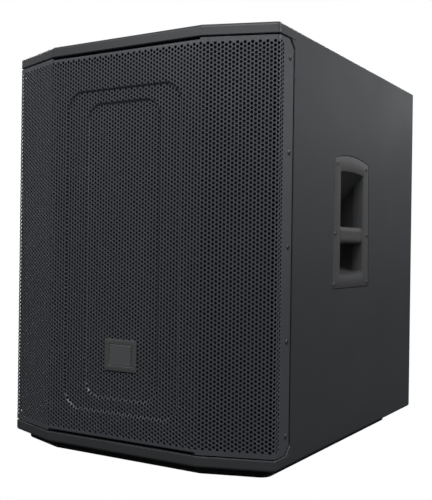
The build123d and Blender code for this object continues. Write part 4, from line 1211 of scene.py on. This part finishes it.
# ---------------------------------------------------------------- handles
@dataclass
class Handle:
    """One side handle: a moulded plate with its pocket, and the grip bar across the mouth."""

    facing: Facing
    name: str
    arch: float = 0.010
    half_top: float = 0.0805
    half_bottom: float = 0.0865
    corner: float = 0.005
    plate: float = 0.0035
    mouth_half: float = 0.0535
    mouth_low: float = 0.024
    mouth_high: float = 0.2055
    deep: float = 0.072
    roof_drop: float = 0.066
    floor_rise: float = 0.017
    wall: float = 0.003
    mouth_radius: float = 0.0035
    least_radius: float = 0.0006
    mouth_bow: float = 0.0025
    straight: float = 0.27
    spread: float = 0.011
    grip_corner: float = 0.009

    def __post_init__(self) -> None:
        """Finds the plate's face, middle and foot from the CAD cup."""
        low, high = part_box(f"handle_cup_{self.name}")
        face = high.x if self.facing is Facing.RIGHT else low.x
        self.origin = (face, (low.y + high.y) / 2, low.z)
        self.tall = high.z - low.z - self.arch

    def outline(self, inset: float) -> Array:
        """The plate's outline, drawn in by an inset.

        Args:
            inset: how far it is drawn in.

        Returns:
            The loop.
        """
        bottom, top, high = self.half_bottom - inset, self.half_top - inset, self.tall - inset
        corners = ((-bottom, inset), (bottom, inset), (top, high), (-top, high))
        return rounded_loop(corners, self.corner, self.arch)

    def pocket(self, share: float, inset: float, flare: float = 0.0) -> Array:
        """The pocket's outline part of the way in: the roof comes down and the floor goes up.

        Args:
            share: how far in, from the mouth to the back wall.
            inset: how far the outline is drawn in.
            flare: how far the side walls have spread.

        Returns:
            The loop.
        """
        half = self.mouth_half + flare - inset
        low = self.mouth_low + self.floor_rise * share + inset
        high = self.mouth_high - self.roof_drop * share - inset
        bow = self.mouth_bow * (1 - share)
        radius = max(self.mouth_radius - inset, self.least_radius)
        loop = rounded_loop(((-half, low), (half, low), (half, high), (-half, high)), radius, bow)
        middle = (low + high) / 2
        sag = np.clip((middle - loop[:, 1]) / (middle - low), 0, 1) * (1 - (loop[:, 0] / half) ** 2)
        loop[:, 1] -= bow * sag
        return loop

    def cup(self) -> Piece:
        """The plate and the pocket as one moulding.

        The steps run up the pocket's outer side, round the plate and down the pocket's inner side.
        Its side walls are straight for a share of the depth, and then spread.

        Returns:
            The piece.
        """
        behind, wall, straight, spread = -self.plate, self.wall, self.straight, self.spread
        steps = [
            (self.pocket(1.0, -wall, spread), -self.deep - wall),
            (self.pocket(straight, -wall), -self.deep * straight),
            (self.pocket(0.0, -wall), behind),
            (self.outline(0.0), behind),
            (self.outline(0.0), -0.0009),
            (self.outline(0.0003), -0.0003),
            (self.outline(0.0009), 0.0),
            (self.pocket(0.0, -0.0012), 0.0),
            (self.pocket(0.0, -0.0004), -0.0003),
            (self.pocket(0.0, 0.0), -0.0012),
            (self.pocket(straight, 0.0), -self.deep * straight),
            (self.pocket(0.275, 0.0, 0.0015), -self.deep * 0.275),
            (self.pocket(0.99, 0.0, spread), -self.deep + 0.0008),
            (self.pocket(1.0, 0.0007, spread), -self.deep),
        ]
        return lofted(f"handle_moulding_{self.name}", self.facing, self.origin, steps, MOULDED_SMOOTH)

    def bar(self) -> Piece:
        """The grip bar: a rounded oblong carried across the mouth, with a collar and a seam at each end.

        Returns:
            The piece.
        """
        low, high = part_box(f"handle_bar_{self.name}")
        middle = (low + high) / 2
        half_deep, half_tall, reach = (high.x - low.x) / 2, (high.z - low.z) / 2, (high.y - low.y) / 2
        collar = ((0.0, 0.0), (0.0040, 0.0), (0.0045, 0.0004))
        seam = ((0.0046, 0.0014), (0.0054, 0.0014), (0.0055, 0.0007))
        steps = [(reach - far, inset) for far, inset in collar + seam] + [(reach * 0.5, 0.0010)]
        steps += [(-place, inset) for place, inset in reversed(steps)]
        loops = []
        for place, inset in reversed(steps):
            loops.append((oblong(half_deep - inset, half_tall - inset, self.grip_corner - inset), place))
        return lofted(f"handle_grip_{self.name}", Facing.FRONT, middle, loops, MOULDED_SMOOTH)

    def build(self) -> None:
        """Makes and fits the handle."""
        fit(self.cup(), "handle_plastic", replaces=(f"handle_cup_{self.name}",))
        fit(self.bar(), "grip_plastic", replaces=(f"handle_bar_{self.name}",))


# ---------------------------------------------------------------- screws
def loose_parts(node: Piece) -> list[Array]:
    """The points of each separate part of a CAD node.

    Points at one place get one number. The lowest number then spreads along the edges until
    nothing changes, so the points of one part share it.

    Args:
        node: the node.

    Returns:
        One (n, 3) array for each part.
    """
    mesh = node.data
    points = np.empty(len(mesh.vertices) * 3, np.float32)
    mesh.vertices.foreach_get("co", points)
    turn = np.array(node.matrix_world)
    points = points.reshape(-1, 3) @ turn[:3, :3].T + turn[:3, 3]
    ends = np.empty(len(mesh.edges) * 2, np.int32)
    mesh.edges.foreach_get("vertices", ends)
    _, place = np.unique(np.round(points / SAME_PLACE).astype(np.int64), axis=0, return_inverse=True)
    place = place.ravel()
    first, second = place[ends.reshape(-1, 2)].T
    label = np.arange(place.max() + 1)
    while True:
        spread = label.copy()
        np.minimum.at(spread, first, label[second])
        np.minimum.at(spread, second, label[first])
        spread = spread[spread]
        if (spread == label).all():
            break
        label = spread
    mine = label[place]
    return [points[mine == number] for number in np.unique(mine)]


@dataclass
class Screws:
    """Every screw of one CAD node, with a domed head and a six-lobed drive."""

    node: str
    piece: str
    slot: str = "black_screw"
    head: float = 0.0012
    lift: float = 0.0
    lobes: int = 6
    swell: float = 0.14
    end_share: float = 0.02

    def screw(self, shell: Shell, points: Array) -> None:
        """Adds one screw in the place of a CAD one.

        Its axis is the part's longest side, and its head is at the end that reaches farther from
        the axis. A head on a side panel is raised by the lift.

        Args:
            shell: what it is added to.
            points: the CAD screw's points.
        """
        low, high = points.min(axis=0), points.max(axis=0)
        axis = int(np.argmax(high - low))
        middle, length = (low + high) / 2, (high - low)[axis]
        reach = np.linalg.norm(np.delete(points - middle, axis, axis=1), axis=1)
        close = length * self.end_share
        near = [reach[np.abs(points[:, axis] - end) < close].max() for end in (low[axis], high[axis])]
        outward = 1 if near[1] > near[0] else -1
        facing = next(f for f in Facing if f.value[2][axis] == outward)
        middle[axis] = (high if outward > 0 else low)[axis]
        if facing in (Facing.LEFT, Facing.RIGHT):
            middle[axis] += outward * self.lift
        wide, shank, tall = max(near), min(near), self.head
        steps = [
            (circle(shank * 0.35), -length),
            (circle(shank), -length + shank * 1.2),
            (circle(shank), -tall),
            (circle(wide), -tall),
            (circle(wide), -tall * 0.5),
            (circle(wide * 0.93), -tall * 0.2),
            (circle(wide * 0.78), 0.0),
            (circle(wide * 0.5, self.lobes, self.swell), 0.0),
            (circle(wide * 0.46, self.lobes, self.swell), -tall * 0.75),
        ]
        loft(shell, [facing.ring(middle, loop, out) for loop, out in steps])

    def build(self) -> None:
        """Makes and fits the screws."""
        shell = Shell()
        for points in loose_parts(frame["nodes"][self.node]):
            self.screw(shell, points)
        fit(shell.object(self.piece), self.slot, replaces=(self.node,))


@dataclass
class GapShade:
    """Painted shade: a near-black strip on each side panel's front edge, deep in the gap, and a near-black
    sheet in each corner behind the grille's holes, standing in for the shade there.
    """

    face: float
    corner_y: float
    thick: float = 0.0012
    below: float = 0.0012
    gusset: float = 0.014
    deep: float = 0.009
    short: float = 0.016
    edge: float = 0.0003
    shade_sheet_half: Pair = (0.0006, 0.0095)
    shade_sheet_below: float = 0.0047
    shade_sheet_back: float = 0.012

    def build(self) -> None:
        """Makes and fits the painted-shade strips and sheets, carried straight up behind the grille."""
        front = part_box("side_panel_right")[0].y + self.gusset - self.thick / 2
        low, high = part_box("grille")
        ends = (low.z + self.short, high.z - self.short)
        strip = oblong(self.deep / 2, self.thick / 2, self.edge)
        shade_sheet = oblong(*self.shade_sheet_half, self.edge)
        shell = Shell()
        for side in (-1, 1):
            strip_at = (side * (self.face - self.below - self.deep / 2), front, 0.0)
            shade_sheet_at = (side * (self.face - self.shade_sheet_below), self.corner_y + self.shade_sheet_back, 0.0)
            for origin, loop in ((strip_at, strip), (shade_sheet_at, shade_sheet)):
                loft(shell, [Facing.UP.ring(origin, loop, z) for z in ends])
        # The near-black foam finish paints the shade of the flange gaps and of the corners seen through the
        # holes.
        fit(shell.object("flange_gap_painted_shade"), "gasket_foam")


# ---------------------------------------------------------------- badge
@dataclass
class Badge:
    """The blank badge: a satin plate with a sunk seat, and the raised insert in it."""

    corner: float = 0.002
    least_radius: float = 0.001

    def layer(self, node: str, slot: str, face: float, steps: Sequence[Pair]) -> None:
        """Makes and fits one layer.

        Args:
            node: the CAD node that it stands for.
            slot: its material slot.
            face: the badge's front face, as a y value.
            steps: each ring's inset from the outline, and how far it stands out of the face.
        """
        low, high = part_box(node)
        half_wide, half_tall = (high.x - low.x) / 2, (high.z - low.z) / 2
        origin = ((low.x + high.x) / 2, face, (low.z + high.z) / 2)
        loops = []
        for inset, out in steps:
            radius = max(self.corner - inset, self.least_radius)
            loops.append((oblong(half_wide - inset, half_tall - inset, radius), out))
        fit(lofted(f"{node}_face", Facing.FRONT, origin, loops, MOULDED_SMOOTH), slot, replaces=(node,))

    def build(self) -> None:
        """Makes and fits both layers."""
        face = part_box("badge_plate")[0].y
        rim = ((0.0, -0.002), (0.0, -0.0006), (0.0003, -0.0002), (0.0008, 0.0), (0.0078, 0.0))
        seat = ((0.0084, -0.0001), (0.0100, -0.0013))
        raised = ((0.0, -0.0018), (0.0, -0.0003), (0.0003, 0.0), (0.0007, 0.00015), (0.0020, 0.00015))
        self.layer("badge_plate", "badge_plastic", face, rim + seat)
        self.layer("badge_insert", "badge_gloss", face, raised)


# ---------------------------------------------------------------- rear controls
@dataclass
class Knob:
    """One control: a fluted knob with a pointer, and the ticks round it on the panel."""

    node: str
    sides: int = 120
    flutes: int = 20
    flute: float = 0.035
    ticks: int = 11
    sweep: float = 300.0
    tick_gap: float = 0.0022
    tick_short: float = 0.0038
    tick_long: float = 0.0048
    tick_half: float = 0.00028
    tick_edge: float = 0.0002
    tick_sink: float = 0.0003
    tick_rise: float = 0.00012

    def __post_init__(self) -> None:
        """Takes the knob's place and size from the CAD knob."""
        low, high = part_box(self.node)
        self.origin = ((low.x + high.x) / 2, low.y, (low.z + high.z) / 2)
        self.radius, self.tall = (high.x - low.x) / 2, high.y - low.y

    def body(self) -> Piece:
        """The knob: a plain skirt, a fluted grip and a dished end.

        Each step is a share of the radius, a share of the height, and how deep the flutes are.

        Returns:
            The piece.
        """
        skirt = ((0.98, 0.0, 0.0), (1.0, 0.04, 0.0), (1.0, 0.16, 0.0), (0.95, 0.2, 0.0))
        grip = ((0.9, 0.24, self.flute), (0.86, 0.86, self.flute))
        end = ((0.8, 0.94, 0.0), (0.74, 0.975, 0.0), (0.6, 0.975, 0.0), (0.5, 0.95, 0.0))
        loops = []
        for wide, out, swell in skirt + grip + end:
            loops.append((circle(self.radius * wide, self.flutes, swell, self.sides), self.tall * out))
        return lofted(f"{self.node}_body", Facing.REAR, self.origin, loops)

    def pointer(self) -> Piece:
        """The raised line on the knob's end, which narrows at its top.

        Returns:
            The piece.
        """
        x, y, z = self.origin
        loop = oblong(0.0005, self.radius * 0.28, 0.0004)
        steps = [(loop * small, self.tall * out) for out, small in ((0.93, 1.0), (0.99, 1.0), (1.0, 0.85))]
        return lofted(f"{self.node}_pointer", Facing.REAR, (x, y, z + self.radius * 0.42), steps)

    def scale(self, face: float) -> Piece:
        """The ticks on the panel, spread over the sweep, the end and middle ones longer.

        Args:
            face: the panel's outer face, as a y value.

        Returns:
            The piece.
        """
        shell = Shell()
        for k in range(self.ticks):
            turn = radians(self.sweep / 2 - self.sweep * k / (self.ticks - 1))
            long = k in (0, self.ticks // 2, self.ticks - 1)
            start = self.radius + self.tick_gap
            end = self.radius + (self.tick_long if long else self.tick_short)
            bar = oblong(self.tick_half, (end - start) / 2, self.tick_edge) + (0, (start + end) / 2)
            loop = np.stack([
                bar[:, 0] * cos(turn) - bar[:, 1] * sin(turn), bar[:, 0] * sin(turn) + bar[:, 1] * cos(turn)
            ], axis=1)
            origin = (self.origin[0], face, self.origin[2])
            loft(shell, [Facing.REAR.ring(origin, loop, out) for out in (-self.tick_sink, self.tick_rise)])
        return shell.object(f"{self.node}_ticks")

    def build(self) -> None:
        """Makes and fits the knob and its scale."""
        fit(self.body(), "knob_rubber", self.node, (self.node,))
        fit(self.pointer(), "latch_plastic", self.node)
        fit(self.scale(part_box("amp_panel")[1].y), "latch_plastic")


# ---------------------------------------------------------------- studio
@dataclass
class Studio:
    """The floor, the backdrop, the lights and the camera.

    The camera turns by the yaw about Z, then up by the pitch, then about its own line by the roll.
    """

    eye: tuple[float, float, float] = (0.815, -1.3884, 0.3485)
    yaw: float = 0.5442
    pitch: float = -0.0009
    roll: float = 0.0137
    lens: float = 58.22
    sensor: float = 36.0
    bounce: float = 0.05
    dome: float = 0.24
    floor_size: float = 60.0

    def floor(self) -> None:
        """Makes a wide floor: white to the camera, and nearly black to the light that it throws back."""
        bpy.ops.mesh.primitive_plane_add(size=self.floor_size)
        made = bpy.context.object
        made.name = "studio_floor"
        pale = bpy.data.materials.new("studio floor")
        pale.use_nodes = True
        nodes, links = pale.node_tree.nodes, pale.node_tree.links
        nodes.clear()
        seen, thrown = nodes.new("ShaderNodeEmission"), nodes.new("ShaderNodeBsdfDiffuse")
        thrown.inputs["Color"].default_value = (self.bounce, self.bounce, self.bounce, 1)
        kinds = ("ShaderNodeMixShader", "ShaderNodeLightPath", "ShaderNodeOutputMaterial")
        either, path, end = (nodes.new(kind) for kind in kinds)
        links.new(path.outputs["Is Camera Ray"], either.inputs["Fac"])
        links.new(thrown.outputs["BSDF"], either.inputs[1])
        links.new(seen.outputs["Emission"], either.inputs[2])
        links.new(either.outputs["Shader"], end.inputs["Surface"])
        made.data.materials.append(pale)

    def light(
        self, name: str, place: Sequence[float], target: Sequence[float], size: Pair, watts: float
    ) -> None:
        """Adds one soft box.

        Args:
            name: the light's name.
            place: where it stands.
            target: what it faces.
            size: its width and height.
            watts: its power.
        """
        data = bpy.data.lights.new(name, "AREA")
        data.shape, data.size, data.size_y, data.energy = "RECTANGLE", size[0], size[1], watts
        lamp = bpy.data.objects.new(name, data)
        lamp.location = place
        lamp.rotation_euler = (Vector(target) - Vector(place)).to_track_quat("-Z", "Y").to_euler()
        bpy.context.scene.collection.objects.link(lamp)

    def camera(self) -> None:
        """Makes the camera from its eye point and three turns."""
        ahead = Vector((-sin(self.yaw) * cos(self.pitch), cos(self.yaw) * cos(self.pitch), sin(self.pitch)))
        right = Vector((cos(self.yaw), sin(self.yaw), 0))
        up = right.cross(ahead)
        x_axis = cos(self.roll) * right + sin(self.roll) * up
        y_axis = -sin(self.roll) * right + cos(self.roll) * up
        data = bpy.data.cameras.new("camera")
        data.lens, data.sensor_width, data.sensor_fit = self.lens, self.sensor, "AUTO"
        data.clip_start, data.clip_end = 0.05, 100.0
        made = bpy.data.objects.new("camera", data)
        turned = Matrix((x_axis, y_axis, -ahead)).transposed().to_4x4()
        made.matrix_world = Matrix.Translation(self.eye) @ turned
        bpy.context.scene.collection.objects.link(made)
        bpy.context.scene.camera = made

    def world(self) -> None:
        """Surrounds the scene with white, and lights it with an even dome of its own strength."""
        world = bpy.data.worlds.new("studio")
        world.use_nodes = True
        nodes, links = world.node_tree.nodes, world.node_tree.links
        background = nodes["Background"]
        background.inputs["Color"].default_value = (1, 1, 1, 1)
        path, span = nodes.new("ShaderNodeLightPath"), nodes.new("ShaderNodeMapRange")
        span.inputs["To Min"].default_value = self.dome
        span.inputs["To Max"].default_value = 1.0
        links.new(path.outputs["Is Camera Ray"], span.inputs["Value"])
        links.new(span.outputs["Result"], background.inputs["Strength"])
        bpy.context.scene.world = world
        bpy.context.scene.view_settings.view_transform = "Standard"

    def build(self) -> None:
        """Makes the whole studio."""
        self.camera()
        self.floor()
        self.world()
        lights = (
            ("key", (0.6, -2.1, 2.1), (0, -0.3, 0.5), (1.2, 1.2), 34),
            ("sheen", (-1.0, -2.2, 1.75), (0, -0.34, 0.6), (0.6, 0.5), 12),
            ("side", (1.45, 0.45, 1.6), (0.266, 0.2, 0.5), (0.9, 0.9), 17),
            ("rim", (0.8, 2.2, 1.1), (0.266, 0.3, 0.5), (0.5, 0.5), 0.7),
            ("glint", (2.37, -0.62, 1.13), (0.26, -0.33, 0.55), (0.2, 0.2), 7),
            ("rear", (-0.7, 3.0, 1.9), (0, 0.3, 0.35), (1.6, 1.6), 60),
            ("left", (-2.6, 0.9, 1.8), (-0.266, 0.1, 0.4), (1.2, 1.2), 40),
        )
        for row in lights:
            self.light(*row)


def main() -> None:
    """Builds the cabinet and its studio."""
    logging.basicConfig(level=logging.INFO, format="%(message)s")
    Studio().build()
    dress_frame()
    low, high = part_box("grille")
    fold = Fold(front=low.y, side=high.x)
    Grille(fold, low.z, high.z, high.y).build()
    cloth_low, cloth_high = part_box("grille_cloth")
    SpeakerCloth(fold, cloth_low.z, cloth_high.z).build()
    Badge().build()
    for facing, name in ((Facing.RIGHT, "right"), (Facing.LEFT, "left")):
        Handle(facing, name).build()
    # Painted shade: near-black strips in the flange gaps and sheets behind the grille's corners.
    GapShade(fold.side, fold.front + fold.facet_depth).build()
    Screws("grille_screws", "flange_screws").build()
    Screws("wood_screws", "panel_screws", lift=0.0013).build()
    Screws("amp_screws", "module_screws").build()
    for node in ("encoder_knob", "gain_knob_1", "gain_knob_2"):
        Knob(node).build()


if __name__ == "__main__":
    main()
